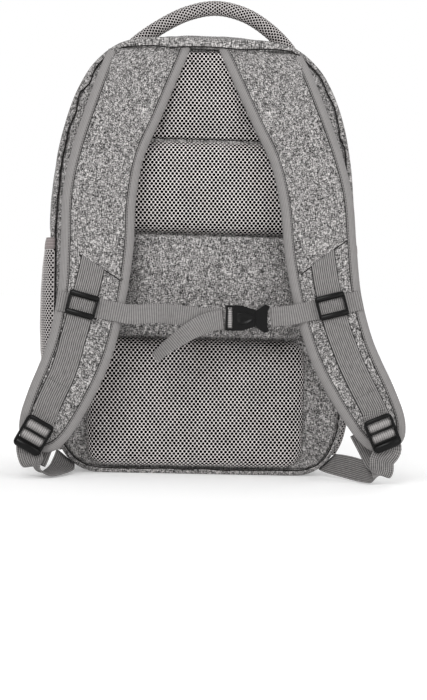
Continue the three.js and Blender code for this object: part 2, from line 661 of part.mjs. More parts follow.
function buildStrap(side, word, lowerRows, tailRows) {
  const { stops, stationAt, atHeight } = strapLine(side);
  const stations = stops.map(stationAt);
  const belowSeam = (geometry) => geometryOf(solidOf(geometry).subtract(above(STRAP_TOP_Z)));
  const tip = stations.length - 1;
  const padding = stations.map((s, i) => {
    const { narrower, thinner } = STRAP_UNDER_TAPE[tip - i] ?? { narrower: 0, thinner: 1 };
    return strapSection({ ...s, width: s.width - narrower, thick: s.thick * thinner });
  });
  place(`shoulder_strap_${word}`, belowSeam(loft(padding)), "heather");
  place(`strap_binding_${word}`, belowSeam(loft(bindingSections(stations, side))), "tape");

  const ends = STRAP_WEBBING_ROWS.map((row) => row.z);
  const from = atHeight(ends[0]);
  const to = atHeight(ends[ends.length - 1]);
  const offsets = STRAP_WEBBING_ROWS.slice().reverse();
  const run = Array.from({ length: 21 }, (_, i) => {
    const station = stationAt(from + ((to - from) * i) / 20);
    const lift = station.thick / 2 + webbingLift(station.centre.z - SLIDER_Z[word]);
    const moved = movedOut(station, linear(offsets, word, station.centre.z));
    return { ...moved, centre: moved.centre.addScaledVector(station.normal, lift) };
  });
  place(`strap_webbing_${word}`, ribbon(squared(run), WEBBING.wide, WEBBING.thick), "webbing");

  const opening = windowAt(...SLIDER.window, 0);
  const slider = frameGeometry(SLIDER.width, SLIDER.height, SLIDER.corner, [opening], SLIDER.thick);
  const sliderOut = linear(offsets, word, SLIDER_Z[word]);
  const sliderStation = movedOut(stationAt(atHeight(SLIDER_Z[word])), sliderOut);
  layOnStrap(place(`chest_slider_${word}`, slider, "plastic"), sliderStation, SLIDER.lift, SLIDER_TURN[word]);

  const windows = LOCK_WINDOW.at.map((step) => windowAt(...LOCK_WINDOW.size, step));
  const lock = frameGeometry(LOCK.width, LOCK.height, LOCK.corner, windows, LOCK.thick);
  const { z: lockZ, out: lockOut, turn } = LOCK_PLACE[word];
  const lockStation = movedOut(stationAt(atHeight(lockZ)), lockOut);
  layOnStrap(place(`ladder_lock_${word}`, lock, "plastic"), lockStation, LOCK.lift, turn);

  const inLock = IN_LOCK.steps.map((up) => {
    const station = movedOut(stationAt(atHeight(lockZ + up)), lockOut);
    const centre = station.centre.clone().addScaledVector(station.normal, station.thick / 2 + IN_LOCK.under);
    return { centre, across: station.across.clone().multiplyScalar(side) };
  });
  const lower = smooth([...inLock, ...lowerRows.map(rowStation)]);
  place(`lower_webbing_${word}`, ribbon(lower, WEBBING.wide, WEBBING.thick), "webbing");
  const tail = smooth(tailRows.map(rowStation));
  place(`webbing_tail_${word}`, ribbon(tail, WEBBING.wide, WEBBING.thick), "webbing");
}

// Strip stations turned square to the line that their centres follow
function squared(stations) {
  return stations.map((station, i) => {
    const before = stations[Math.max(i - 1, 0)].centre;
    const after = stations[Math.min(i + 1, stations.length - 1)].centre;
    const along = after.clone().sub(before).normalize();
    const across = station.across.clone().addScaledVector(along, -station.across.dot(along)).normalize();
    return { centre: station.centre, across, normal: along.clone().cross(across).normalize() };
  });
}

function rowStation({ x, y, z, wx, wy, wz }) {
  return { centre: new THREE.Vector3(x, y, z), across: new THREE.Vector3(wx, wy, wz).normalize() };
}

// Stations between the given ones, with normals square to the strip
function smooth(rows, between = 3) {
  const line = new THREE.CatmullRomCurve3(rows.map((row) => row.centre));
  const widths = new THREE.CatmullRomCurve3(rows.map((row) => row.across));
  const count = (rows.length - 1) * between;
  return Array.from({ length: count + 1 }, (_, i) => {
    const t = i / count;
    const along = line.getTangent(t);
    const across = widths.getPoint(t);
    across.addScaledVector(along, -across.dot(along)).normalize();
    return { centre: line.getPoint(t), across, normal: along.clone().cross(across).normalize() };
  });
}

// Chest strap

function chestStation({ x, y, z, lean, turn = 0 }) {
  const across = new THREE.Vector3(lean, Math.sin(turn), Math.cos(turn)).normalize();
  return { centre: new THREE.Vector3(x, y, z), across };
}

function buildChestStrap() {
  const strip = (stations) => ribbon(smooth(stations), WEBBING.narrow, WEBBING.thick);
  const onStrap = (side, z) => {
    const { stationAt, atHeight } = strapLine(side);
    const { centre, across, along, normal, thick } = stationAt(atHeight(z));
    return CHEST_ON_STRAP.map(({ out, lift }) => ({
      centre: centre.clone().addScaledVector(across, out).addScaledVector(normal, thick / 2 + lift),
      across: along.clone().negate(),
    }));
  };
  const left = [...onStrap(-1, SLIDER_Z.left), ...CHEST_LEFT_ROWS.map(chestStation)];
  const right = [...onStrap(1, SLIDER_Z.right), ...CHEST_RIGHT_ROWS.map(chestStation)];
  place("chest_webbing_left", strip(left), "webbing");
  place("chest_webbing_right", strip(right), "webbing");
  place("chest_tail", strip(CHEST_TAIL_ROWS.map(chestStation)), "webbing");
  const put = (mesh) => {
    mesh.position.set(BUCKLE.x, -BUCKLE.y + BUCKLE.thick / 2, BUCKLE.z);
    mesh.rotation.set(Math.PI / 2, 0, BUCKLE.tilt, "ZYX");
  };
  const half = BUCKLE.height / 2;
  const planOf = (edge) => {
    const low = edge.map(({ x, inward }) => new THREE.Vector2(x, inward - half));
    const high = edge.map(({ x, inward }) => new THREE.Vector2(x, half - inward));
    return new THREE.Shape([...low, ...high.reverse()]);
  };
  const socket = planOf(SOCKET_EDGE);
  const { x: windowX, width, height } = SOCKET_WINDOW;
  socket.holes.push(windowAt(width, height, 0, windowX));
  const plug = planOf(PLUG_EDGE);
  const flat = { depth: BUCKLE.thick, bevelEnabled: false };
  put(place("chest_buckle_socket", new THREE.ExtrudeGeometry(socket, flat), "plastic"));
  put(place("chest_buckle_plug", new THREE.ExtrudeGeometry(plug, flat), "plastic"));
}

buildShell();
buildBackPanel();
buildPads();
buildSleeve();
buildHandle();
buildPocket(-1, "left");
buildPocket(1, "right");
buildStrap(-1, "left", LOWER_LEFT_ROWS, TAIL_LEFT_ROWS);
buildStrap(1, "right", LOWER_RIGHT_ROWS, TAIL_RIGHT_ROWS);
buildChestStrap();

const backpack = new THREE.Group();
backpack.add(bag);
export default backpack;
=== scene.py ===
import math

import bpy
import numpy as np
from mathutils import Matrix, Vector


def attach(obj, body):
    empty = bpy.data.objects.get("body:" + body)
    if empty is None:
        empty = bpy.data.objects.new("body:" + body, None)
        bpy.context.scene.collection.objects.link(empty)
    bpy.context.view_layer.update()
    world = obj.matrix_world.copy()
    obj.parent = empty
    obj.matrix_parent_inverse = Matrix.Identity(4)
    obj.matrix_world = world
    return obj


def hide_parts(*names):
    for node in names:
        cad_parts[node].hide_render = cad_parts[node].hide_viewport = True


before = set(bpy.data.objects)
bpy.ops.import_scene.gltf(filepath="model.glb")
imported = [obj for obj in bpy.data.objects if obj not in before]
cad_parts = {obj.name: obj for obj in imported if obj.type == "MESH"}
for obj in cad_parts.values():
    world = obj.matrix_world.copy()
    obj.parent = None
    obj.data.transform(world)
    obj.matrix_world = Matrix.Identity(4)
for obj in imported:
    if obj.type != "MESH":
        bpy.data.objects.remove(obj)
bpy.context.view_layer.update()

# Sizes are in millimetres from the plane of the back panel, and pieces go into the frame in metres
MM = 0.001
BACK_PLANE_Y = -67.0
GAP = 0.3
WALL = 4.0
SIDES = {"left": -1, "right": 1}

# The bag in horizontal slices
BODY_COLUMNS = ("z", "half", "back", "front")
BODY_ROWS = np.array([
    (0, 99, 9, 124), (5, 114, 2.5, 137), (12, 131, 0, 146), (22, 142, 0, 150), (36, 149, 0, 153),
    (70, 155, 0, 155), (165, 159, 0, 155), (265, 160, 0, 146), (320, 155.5, 0, 134), (360, 148.5, 0, 122),
    (392, 138.5, 0, 110), (420, 124, 0, 98), (438, 105, 0, 88), (450, 83, 6, 79), (459, 55, 16, 68),
    (463, 25, 28, 54),
])
BODY_HEIGHT = 463.0
BACK_CORNER = 14.0
FRONT_CORNER = 46.0
SIDE_TAPER = 0.06
FRONT_BULGE = 9.0
BASE_SEAM_Z = 12.0
TOP_SEAM_Z = 394.0
FRONT_TOP_Z = 450.3
BACK_SEAM_Y = 2.0
BAG_MIDDLE = (0, 70, 220)
FRONT_SEAM = {"depth": 137.0, "slope": 0.13}
ZIP = {"behind_seam": 26.0, "tape": 8.2, "thick": 1.6, "low_z": 256.0, "tooth": 1.7}
TOOTH = {"half": 1.6, "lift": 1.2, "radius": 0.55}

# Loose cloth: settings (a negative shrink is extra length), steps, and how far a point may move
LOOSE = {
    "quality": 5, "mass": 0.2, "bending_stiffness": 1.0, "shrink_min": -0.006,
    "use_pressure": True, "uniform_pressure_force": 0.4,
}
LOOSE_STEPS = 20
LOOSE_MOST = {"side": 4.0, "front": 6.0}
# Creases of a panel: they fade towards its seams, and are long and short waves
CREASE = {"fade": 14, "long": 75, "short": 28}

# Back panel and what is sewn on it
BACK_PANEL = {"outer": 6.0, "inner": 1.7, "inset": 6.8, "low_z": 6.5, "high_z": 444.0}
PIPING = {"radius": 3.1, "depth": 2.0, "top_radius": 6.3, "top_depth": 4.2, "sides": 12}
PIPING_TOP = {"from_z": 424, "to_z": 442, "full_x": 52, "none_x": 98}  # where it is wider
# A thin dark tube of painted shadow in the crease beside the edge roll: its radius, and its angle round the
# roll
PIPING_CREASE_SHADE = {"radius": 0.7, "angle": 128}
# Puckers in the edge roll: the side they are on, height, size and length
PUCKERS = [
    (-1, 407, 1.7, 6), (-1, 394, -0.9, 3.5), (-1, 376, 0.9, 8),
    (1, 358, 1.3, 7), (1, 345, -0.8, 4), (1, 402, 0.7, 8),
]
PAD_COLUMNS = ("low_z", "high_z", "low_half", "high_half", "thick", "corner", "shift")
PADS = {
    "neck_pad": (350, 442, 66, 23, 7, 5, 0),
    "upper_pad": (252, 347, 106, 100, 11, 16, 0),
    "lower_pad": (9, 142, 113, 113, 12, 24, -3.5),
}
# A pad's rise at its edge: inset, and share of the thickness
PAD_CROWN = np.array([(0, 0), (0.6, 0.3), (5, 0.75), (14, 1)])
NECK_CROWN = np.array([(0, 0), (0.6, 0.25), (8, 0.45), (20, 1)])
SPACER = {"pitch": 4.3, "row": 2.75, "mouth": 1.6, "floor": 1.5, "depth": 2.2}
HOLE_LIP = 0.22
# Cells between the two insets keep no hole and are painted shade: a dark line of shadow along the mesh's
# edge seam
HOLE_INSET = {"cell": 1.2, "pad": 1.9, "pocket": 1.5}  # how far in cells start, and their holes
SLEEVE = {"low_z": 145, "high_z": 249, "thick": 2.4, "stand": 27}
SLEEVE_HALF = {"flat": 76, "foot": 94, "tab": 104, "shift": 9}
HEM = {"wide": 9.0, "rise": 0.5, "groove_at": 9.6, "groove": 0.7}

HANDLE = {"radius": 8.0, "depth": 34.0, "columns": 13, "row": 2.45, "wall": 2.8}
HANDLE_HOLE = {"mouth": 1.45, "floor": 1.3, "depth": 1.8}
HANDLE_ROWS = np.array([
    (-86, 437), (-75, 451), (-50, 470), (-20, 486), (11, 492.5), (42, 486), (67, 471), (87, 452), (96, 438),
])

POCKET = {"wall": 1.5, "band": 12.0, "band_wall": 2.2, "wide": 124.0}
# The pocket in plan: out from the bag's side, depth, and share of the bulge
POCKET_PLAN = np.array([
    (-5.5, -5.6, 0), (-1.5, -5.2, 0.05), (0.8, -1.5, 0.2), (1.0, 8, 0.5),
    (0.5, 24, 0.85), (0.5, 48, 1), (0.5, 75, 0.75), (0.5, 103, 0),
])
# Height, and bulge
POCKET_ROWS = np.array([
    (22, 0), (36, 1.5), (70, 5), (100, 8.5), (125, 10.6),
    (150, 10.8), (190, 9.6), (214, 8.2), (232, 6), (244, 3.5),
])
POCKET_MESH = {"pitch": 3.9, "row": 2.5, "mouth": 1.4, "floor": 1.25, "depth": 1.2}
POCKET_TUCK = {"from_z": 70, "to_z": 130, "back": 14.0, "out": 5.0}

# Shoulder strap centreline: x, z, distance from the back plane, width and thickness
STRAP_ROWS = np.array([
    (49.5, 462, 10, 74, 4), (57.5, 444, 10, 75, 4), (68, 420, 13, 76, 9), (82, 386, 21, 75, 12),
    (101.5, 336, 31, 71, 12), (112, 288, 41, 73, 12), (115, 236, 52, 72, 12), (121, 184, 62, 67, 12),
    (132.5, 134, 70, 64.5, 12), (143, 107, 76, 62.5, 12), (155.5, 81, 79, 60, 11), (167.5, 56, 80, 54, 10),
    (173, 44, 80, 47, 9), (177.5, 34, 80, 35, 9), (179.5, 29, 80, 20, 8.4),
])
STRAP_TOP_Z = 444.0
STRAP_TOP_SLOPE = 0.08
STRAP_SWAY = {"most": 10.5, "none_at_z": 340}
STRAP_END = {"left": {"out": 0, "up": 0}, "right": {"out": 3, "up": 9}, "fades_at_z": 190}
STRAP_EDGE = {"half": 2.6, "shoulder": 5.0}
STRAP_TUCK = {"from_z": 428, "back": 5.0}  # how the top goes in under the edge roll
STRAP_LEVEL = {"from_z": 380, "to_z": 436}  # where its rows turn to lie level
STRAP_TIP = {"from": 0.93, "narrow": 0.9, "thin": 0.35}
STRAP_SOFT = {"size": 0.28, "wave": 38}
# fold_shade_in and fold: how far in, and the radius of, a dark tube of painted shadow along the binding's
# folded edge
BINDING = {
    "reach": 8.0, "wall": 1.0, "step": 3.5, "round": 22, "stitch_in": 1.2, "fold_shade_in": 1.5, "fold": 0.45,
}
# How the binding's outer face stands off its inner one: out and up, in walls
BINDING_LIFT = np.array([(0.0, 1), (0, 1), (0.55, 0.85), (0.9, 0.45), (1, 0.12)])
STITCH = {"pitch": 3.0, "thread": 0.45, "lift": 0.3}
STITCH_RINGS = np.array([(-0.36, 0.4), (-0.2, 1.0), (0.2, 1.0), (0.36, 0.4)])  # along, and size

WEBBING = {"wide": 25.0, "narrow": 20.0, "thick": 1.5}
RIBBON_POINTS = 11
# Height, and distance out from the middle of the left and the right strap
STRAP_WEBBING_ROWS = np.array([
    (64, 6.5, 1), (100, 7, 2), (134, 10, 3), (172, 8.5, 1.5), (200, 5, 1), (228, 1.5, 0.3),
])
STRAP_WEBBING = {"low_z": 64, "over_slider": 26, "steep": 1.6}
# Thin dark tubes of painted shadow along both edges of the strap webbing: out past its edge, lowest height,
# and radius
WEBBING_EDGE_SHADE = {"out": 0.3, "low_z": 66, "radius": 0.4}
# The seam across a strap: height at the strap's middle, and rise towards its outer edge
STRAP_SEAM = {"left": (215.5, 0.5), "right": (228, 0.6)}
SEAM_REACH = {"left": (-28, 17), "right": (-24, 28)}
# The roll of that seam, and a dark tube of painted shadow under it: up and off the strap, and half height
# and depth
SEAM_TUBES = [(1.4, 0, 1.7, 1.35), (-0.35, 0.35, 0.55, 0.6)]
SLIDER_Z = {"left": 172, "right": 178}
SLIDER_TURN = {"left": -0.08, "right": 0.03}
LOCK_PLACE = {"left": {"z": 40.5, "out": 7, "turn": -0.1}, "right": {"z": 53.5, "out": -2, "turn": -0.08}}
IN_LOCK = {"under": 3.6, "steps": (8, -5, -16)}
# The doubled webbing over and under a lock's bars: up from its middle, and lift off the strap
OVER_BARS = [
    (20, 3.0), (15, 4.2), (12.5, 5.6), (8.6, 7.4), (4.6, 6.0), (2.9, 4.4),
    (0.8, 5.8), (-2.8, 7.4), (-6.4, 6), (-9, 4.4), (-14, 4),
]
DOUBLED_Z = {"left": 92, "right": 90}
# From the lit row on, the doubled webbing takes the paler copy: painted light over the lock's bars
DOUBLED = {"steps": (0, 9, 16), "lift": 2.6, "narrow": 1.2, "lit_row": 31}
# Places along each strip, and the way its width points
LOWER_ROWS = {
    "left": [
        ((-171.5, -88, 14.5), (0.82, -0.16, -0.46)), ((-164.5, -84.5, 7.6), (0.46, -0.85, -0.22)),
        ((-156, -70, 3.6), (0.66, -0.74, -0.05)), ((-148.5, -50, 4), (0.88, -0.46, -0.08)),
        ((-142.5, -27, 6.4), (0.92, -0.3, -0.22)), ((-139.6, -7, 10.4), (0.84, -0.1, -0.52)),
        ((-138.4, 6, 15), (0.74, 0, -0.67)),
    ],
    "right": [
        ((182, -89.2, 25), (1, 0, 0.12)), ((181, -92.2, 15), (0.97, 0.04, 0.24)),
        ((178.5, -91.4, 9.6), (0.88, 0.12, 0.44)), ((173, -85, 9.6), (0.72, 0.3, 0.62)),
        ((165, -66, 11.2), (0.55, 0.34, 0.76)), ((155.5, -42, 13), (0.5, 0.22, 0.84)),
        ((147, -22, 14), (0.58, 0.1, 0.8)), ((140.4, -5, 14.6), (0.7, 0, 0.71)),
        ((138.4, 6, 15), (0.74, 0, 0.67)),
    ],
}
TAIL_ROWS = {
    "left": [
        ((-170.5, -84.5, 16.5), (0.86, -0.14, -0.46)), ((-168.5, -74, 20), (0.9, -0.05, -0.42)),
        ((-165, -67, 29), (0.9, 0, -0.4)), ((-159, -64, 42), (0.9, 0, -0.4)),
    ],
    "right": [
        ((181, -89.6, 17.5), (0.97, 0.04, 0.24)), ((179, -76, 21), (0.94, 0, 0.34)),
        ((173, -63, 35), (0.92, 0, 0.38)), ((164, -58, 52), (0.95, 0, 0.3)),
    ],
}
# Chest webbing on a strap: out from the strap's middle, and lift
CHEST_ON_STRAP = [
    (33, 2.7), (27, 2.7), (21.6, 1.4), (15, 1.3), (-11, 1.3), (-18, 1.4), (-26.5, 2.7), (-40, 2.7),
]
CHEST_ROWS = {
    "left": [
        ((-48, -72.6, 168.4), (0.05, 0.12, 1)), ((-31, -66.4, 167.4), (0.04, 0, 1)),
        ((-2, -66, 165), (0, 0, 1)), ((18.5, -65, 164), (-0.04, 0, 1)),
    ],
    "right": [((66.5, -65.8, 167.2), (-0.06, 0, 1))],
}
# Place, lean and turn
CHEST_TAIL_ROWS = [
    ((18, -67.8, 163.4), -0.02, 0), ((6, -69.8, 161.4), -0.12, 0.05), ((-10, -74.6, 154.5), -0.34, 0.45),
    ((-27, -78, 143.5), -0.56, 0.85), ((-43, -78.5, 131), -0.5, 1.2), ((-51, -77, 123), -0.5, 1.3),
]

# Raised bars: half length, low and high side, base and top
LOCK_BARS = [
    (13.6, -17.2, -9.2, 9.8, 12.6), (13.4, -8.9, -7.6, 9.6, 10.4),
    (13.2, 13.4, 17.2, 9.8, 11.2), (12.8, 1.9, 4.0, 9.6, 10.8),
]
SLIDER_BARS = [(15.0, -12.3, -7.0, 7.0, 9.2), (15.0, 7.0, 12.3, 7.0, 9.2)]
BAR_ROOT = 1.2

BUCKLE = {"x": 42.4, "y": 65.0, "z": 165.5, "tilt": 0.07, "face": 4.25}
PLATE = {"x": -2.5, "half_long": 9.5, "half_tall": 6.4}
PLATE_LEVELS = [(1, -1.2), (1, 0.5), (0.94, 1.1), (0.8, 1.3), (0.74, 0.9), (0.3, 0.8)]  # share, and rise
LOOP_ROWS = [(-22, 0.5), (-20.6, 2.2), (-19, 3.4), (-17, 3.4), (-15.4, 2.2), (-14.6, 0)]  # along, and rise

PLASTIC_NODES = [
    "chest_slider_left", "chest_slider_right", "ladder_lock_left", "ladder_lock_right",
    "chest_buckle_socket", "chest_buckle_plug", "zip_pull",
]
BEVEL = {"width": 0.8, "segments": 3}

# The photograph's camera: level, a little to the left of the bag's middle and rolled with the bag
IMAGE = {"width": 427, "height": 700}
CAMERA = {"distance": 2300.0, "eye_z": 190.0, "yaw": -4.0, "roll": 1.45, "mm_per_pixel": 1.05}
BASE_PIXEL = (197.0, 474.0)  # where the foot of the back plane shows
SENSOR = 36.0

# Stage, in metres
FLOOR = {"reach": 60.0, "near": 0.5, "near_glow": 0.25, "far": 4.0, "far_glow": 0.78}
SKY = {"light": 0.42, "seen": 1.0}
LIGHT_AIM = (0, 0, 0.22)
# Name, place, size and power
LIGHTS = [
    ("key", (-0.8, -2.4, 1.6), (1.4, 1.1), 36),
    ("fill", (1.6, -1.9, 0.9), (1.4, 1.4), 12),
    ("top", (0.0, 0.2, 2.4), (2.0, 2.0), 16),
    ("rear", (0.9, 2.3, 1.3), (1.4, 1.4), 22),
]


# Number helpers

def unit(v):
    return v / np.maximum(np.linalg.norm(v, axis=-1, keepdims=True), 1e-9)


def spline(points, share):
    """Centripetal Catmull-Rom curve through the points, at shares of its run."""
    pts = np.asarray(points, float)
    pts = np.vstack([2 * pts[0] - pts[1], pts, 2 * pts[-1] - pts[-2]])
    run = np.clip(np.atleast_1d(share), 0, 1) * (len(pts) - 3)
    i = np.minimum(run.astype(int), len(pts) - 4)
    w = (run - i)[:, None]
    p0, p1, p2, p3 = (pts[i + k] for k in range(4))
    step = lambda a, b: np.maximum(np.linalg.norm(b - a, axis=1, keepdims=True), 1e-8) ** 0.5
    d0, d1, d2 = step(p0, p1), step(p1, p2), step(p2, p3)
    m1 = ((p1 - p0) / d0 - (p2 - p0) / (d0 + d1) + (p2 - p1) / d1) * d1
    m2 = ((p2 - p1) / d1 - (p3 - p1) / (d1 + d2) + (p3 - p2) / d2) * d1
    return p1 + m1 * w + (3 * (p2 - p1) - 2 * m1 - m2) * w**2 + (2 * (p1 - p2) + m1 + m2) * w**3


def lengths(path):
    return np.concatenate([[0], np.cumsum(np.linalg.norm(np.diff(path, axis=0), axis=1))])


def picked(at, run, field):
    """Rows of a field at lengths along its run."""
    return np.stack([np.interp(at, run, field[:, k]) for k in range(field.shape[1])], -1)


def resample(path, count):
    run = lengths(path)
    return picked(np.linspace(0, run[-1], count), run, path)


def spaced(run, count):
    """The middles of equal steps along a run."""
    return (np.arange(count) + 0.5) * run[-1] / count


def resample_loop(loop, count):
    return resample(np.vstack([loop, loop[:1]]), count + 1)[:-1]


def eased(count):
    """Shares from -1 to 1, closer together at both ends."""
    return np.sin(np.linspace(-math.pi / 2, math.pi / 2, count))


def circles(centres, a, b, radius, count):
    """Rings of points around centres, in the plane of two directions."""
    angles = np.arange(count) * 2 * math.pi / count
    return np.stack([centres + radius * (math.cos(g) * a + math.sin(g) * b) for g in angles], 1)


def tangents(path, closed=False):
    if closed:
        return unit(np.roll(path, -1, 0) - np.roll(path, 1, 0))
    return unit(np.gradient(path, axis=0))


def smoothstep(low, high, value):
    t = np.clip((value - low) / (high - low), 0, 1)
    return t * t * (3 - 2 * t)


def ripple(points, wave, seed, terms=10):
    """A smooth uneven field over points, with a mean square of about one."""
    rng = np.random.default_rng(seed)
    ways = unit(rng.normal(size=(terms, 3))) / (wave * rng.uniform(0.7, 1.5, (terms, 1)))
    phase = rng.uniform(0, 2 * math.pi, terms)
    return np.sin(2 * math.pi * (points @ ways.T) + phase).sum(-1) / math.sqrt(terms / 2)


# Materials

def new_material(name, rough, specular=0.3, sheen=0.0):
    mat = bpy.data.materials.new(name)
    mat.use_nodes = True
    shader = mat.node_tree.nodes["Principled BSDF"]
    shader.inputs["Roughness"].default_value = rough
    shader.inputs["Specular IOR Level"].default_value = specular
    shader.inputs["Sheen Weight"].default_value = sheen
    return mat, mat.node_tree, shader


def add(tree, kind, inputs, **settings):
    node = tree.nodes.new("ShaderNode" + kind)
    for key, value in settings.items():
        setattr(node, key, value)
    for key, value in inputs.items():
        if isinstance(value, bpy.types.NodeSocket):
            tree.links.new(value, node.inputs[key])
        else:
            node.inputs[key].default_value = value
    return node


def cloth_place(tree):
    return add(tree, "Attribute", {}, attribute_name="cloth").outputs["Vector"]


def streaks(tree, place, wide, tall, detail=2.0):
    """Noise whose grains have this width and height in millimetres."""
    mapped = add(tree, "Mapping", {"Vector": place, "Scale": (1 / wide, 1 / tall, 1)})
    noise = add(tree, "TexNoise", {"Vector": mapped.outputs["Vector"], "Scale": 1.0, "Detail": detail})
    return noise.outputs["Fac"]


def bands(tree, place, axis, period):
    scale = 2 * math.pi / (20 * period)
    wave = add(tree, "TexWave", {"Vector": place, "Scale": scale}, wave_type="BANDS", bands_direction=axis)
    return wave.outputs["Fac"]


def maths(tree, operation, a, b):
    return add(tree, "Math", {0: a, 1: b}, operation=operation).outputs[0]


def blend(tree, a, b, share):
    """Two values, with this share of the first."""
    return maths(tree, "ADD", maths(tree, "MULTIPLY", a, share), maths(tree, "MULTIPLY", b, 1 - share))


def paint(tree, shader, fac, stops):
    """Colours a shader by a value, from stops of place and colour."""
    node = add(tree, "ValToRGB", {"Fac": fac})
    elements = node.color_ramp.elements
    while len(elements) < len(stops):
        elements.new(0.5)
    for element, (at, colour) in zip(elements, stops):
        element.position = at
        element.color = (*colour, 1)
    tree.links.new(node.outputs["Color"], shader.inputs["Base Color"])


def bump(tree, shader, height, strength, distance):
    node = add(tree, "Bump", {"Height": height, "Strength": strength, "Distance": distance * MM})
    tree.links.new(node.outputs["Normal"], shader.inputs["Normal"])


def grey(value, warm=0.945):
    return (value, value * warm, value * warm * 0.985)


def threads(tree, place, wide, long):
    """Threads of random tone: each is this wide, and changes tone along its length."""
    vector = lambda kind, inputs, **settings: add(tree, kind, inputs, **settings).outputs["Vector"]
    floor = lambda place: vector("VectorMath", {0: place}, operation="FLOOR")
    noise = lambda place: add(tree, "TexWhiteNoise", {"Vector": place}, noise_dimensions="3D")
    chance = lambda place: noise(place).outputs["Value"]
    mapped = vector("Mapping", {"Vector": place, "Scale": (1 / wide, 1 / long, 1)})
    own = vector("VectorMath", {0: floor(mapped), 1: (1, 0, 0)}, operation="MULTIPLY")
    moved = vector("CombineXYZ", {"Y": chance(own)})
    return chance(floor(vector("VectorMath", {0: mapped, 1: moved}, operation="ADD")))


HEATHER_THREADS = {"warp": (0.55, 2.4), "weft": (0.55, 1.8)}  # width and length of one tone
HEATHER_TONES = [(0.16, 0.012), (0.36, 0.09), (0.52, 0.208), (0.7, 0.42), (0.86, 0.68)]


def heather_material():
    mat, tree, shader = new_material("heather_fabric", 0.92, 0.2, 0.1)
    place = cloth_place(tree)
    turned = add(tree, "Mapping", {"Vector": place, "Rotation": (0, 0, math.pi / 2)}).outputs["Vector"]
    warp = threads(tree, place, *HEATHER_THREADS["warp"])
    weft = threads(tree, turned, *HEATHER_THREADS["weft"])
    cloud = streaks(tree, place, 10.0, 10.0)
    mixed = blend(tree, blend(tree, warp, weft, 0.5), cloud, 0.9)
    paint(tree, shader, mixed, [(at, grey(tone, 0.965)) for at, tone in HEATHER_TONES])
    weave = maths(tree, "MULTIPLY", bands(tree, place, "X", 0.85), bands(tree, place, "Y", 0.85))
    bump(tree, shader, maths(tree, "ADD", weave, mixed), 0.4, 0.2)
    return mat


def ribbed_material(name, tone, along, across, depth, contrast, warm=0.96, lengthwise=0.7):
    """Webbing or tape: ribs along it and across it, with these periods and the share of those along it."""
    mat, tree, shader = new_material(name, 0.82, 0.25, 0.08)
    place = cloth_place(tree)
    ribs = bands(tree, place, "X", along)
    ticks = bands(tree, place, "Y", across)
    wear = streaks(tree, place, 3.0, 6.0)
    relief = blend(tree, ribs, ticks, lengthwise)
    # The colour follows the ribs' height: painted shade in the grooves and lighter ridges, with a random
    # tone mixed in
    paint(tree, shader, blend(tree, relief, wear, 0.7), [
        (at, grey(tone * (1 + contrast * way), warm)) for at, way in ((0.15, -1), (0.5, 0), (0.85, 1))
    ])
    bump(tree, shader, relief, 0.8, depth)
    return mat


def yarn_material(name, tone):
    mat, tree, shader = new_material(name, 0.85, 0.25, 0.1)
    place = cloth_place(tree)
    twist = streaks(tree, place, 0.45, 0.45, 1.0)
    soil = streaks(tree, place, 25.0, 25.0)
    stops = [(0.3, grey(tone * 0.72)), (0.5, grey(tone)), (0.7, grey(tone * 1.15))]
    paint(tree, shader, blend(tree, twist, soil, 0.6), stops)
    bump(tree, shader, twist, 0.4, 0.15)
    return mat


def plain_material(name, tone, rough, specular, grain):
    """Moulded plastic, thread, and the painted shade of mesh holes and dark seam lines: one tone with a
    fine uneven grain.
    """
    mat, tree, shader = new_material(name, rough, specular)
    place = add(tree, "TexCoord", {}).outputs["Object"]
    scale = 1 / (grain * MM)
    noise = add(tree, "TexNoise", {"Vector": place, "Scale": scale, "Detail": 2.0}).outputs["Fac"]
    paint(tree, shader, noise, [(0.3, grey(tone * 0.8)), (0.7, grey(tone * 1.25))])
    bump(tree, shader, noise, 0.15, 0.08)
    return mat


HEATHER = heather_material()
WEB = ribbed_material("webbing", 0.185, 2.1, 1.3, 0.4, 0.9)
CHEST_WEB = ribbed_material("chest_webbing", 0.2, 1.1, 2.3, 0.25, 0.5, lengthwise=0.2)
TAPE = ribbed_material("edge_tape", 0.245, 1.2, 1.1, 0.15, 0.25)
BAND = ribbed_material("pocket_band", 0.27, 3.0, 1.3, 0.2, 0.25, 0.87)
# A paler copy of the webbing: painted light where the webbing rides over a lock's bars and through the
# buckle's slot
LIT_WEB = ribbed_material("lit_webbing", 0.33, 2.2, 1.2, 0.3, 0.5)
YARN = yarn_material("spacer_yarn", 0.8)
NECK_YARN = yarn_material("neck_yarn", 0.74)
HANDLE_YARN = yarn_material("handle_yarn", 0.58)
POCKET_YARN = yarn_material("pocket_yarn", 0.52)
# The mesh fabrics' holes are painted shade: near-black where light hardly reaches into them
MESH_HOLE_SHADE = plain_material("mesh_hole_shade", 0.0015, 0.95, 0.02, 1.0)
POCKET_HOLE_SHADE = plain_material("pocket_hole_shade", 0.006, 0.95, 0.05, 1.0)
PLASTIC = plain_material("black_plastic", 0.0015, 0.33, 0.2, 0.5)
ZIP_TAPE = ribbed_material("zip_tape", 0.05, 1.2, 0.9, 0.15, 0.2)
COIL = plain_material("zip_coil", 0.03, 0.5, 0.4, 0.6)
THREAD = plain_material("thread", 0.09, 0.8, 0.2, 0.4)
# Painted shadow: the dark tubes laid in creases, under seams and beside the webbing's edges
SEAM_SHADE = plain_material("seam_shadow", 0.02, 0.95, 0.1, 0.4)


# Mesh helpers

def put(name, data):
    obj = bpy.data.objects.new(name, data)
    bpy.context.scene.collection.objects.link(obj)
    return obj


def signed_volume(verts, faces):
    total = 0.0
    for size in {len(f) for f in faces}:
        group = np.array([f for f in faces if len(f) == size])
        a = verts[group[:, 0]]
        for k in range(1, size - 1):
            total += np.einsum("ij,ij->", a, np.cross(verts[group[:, k]], verts[group[:, k + 1]]))
    return total


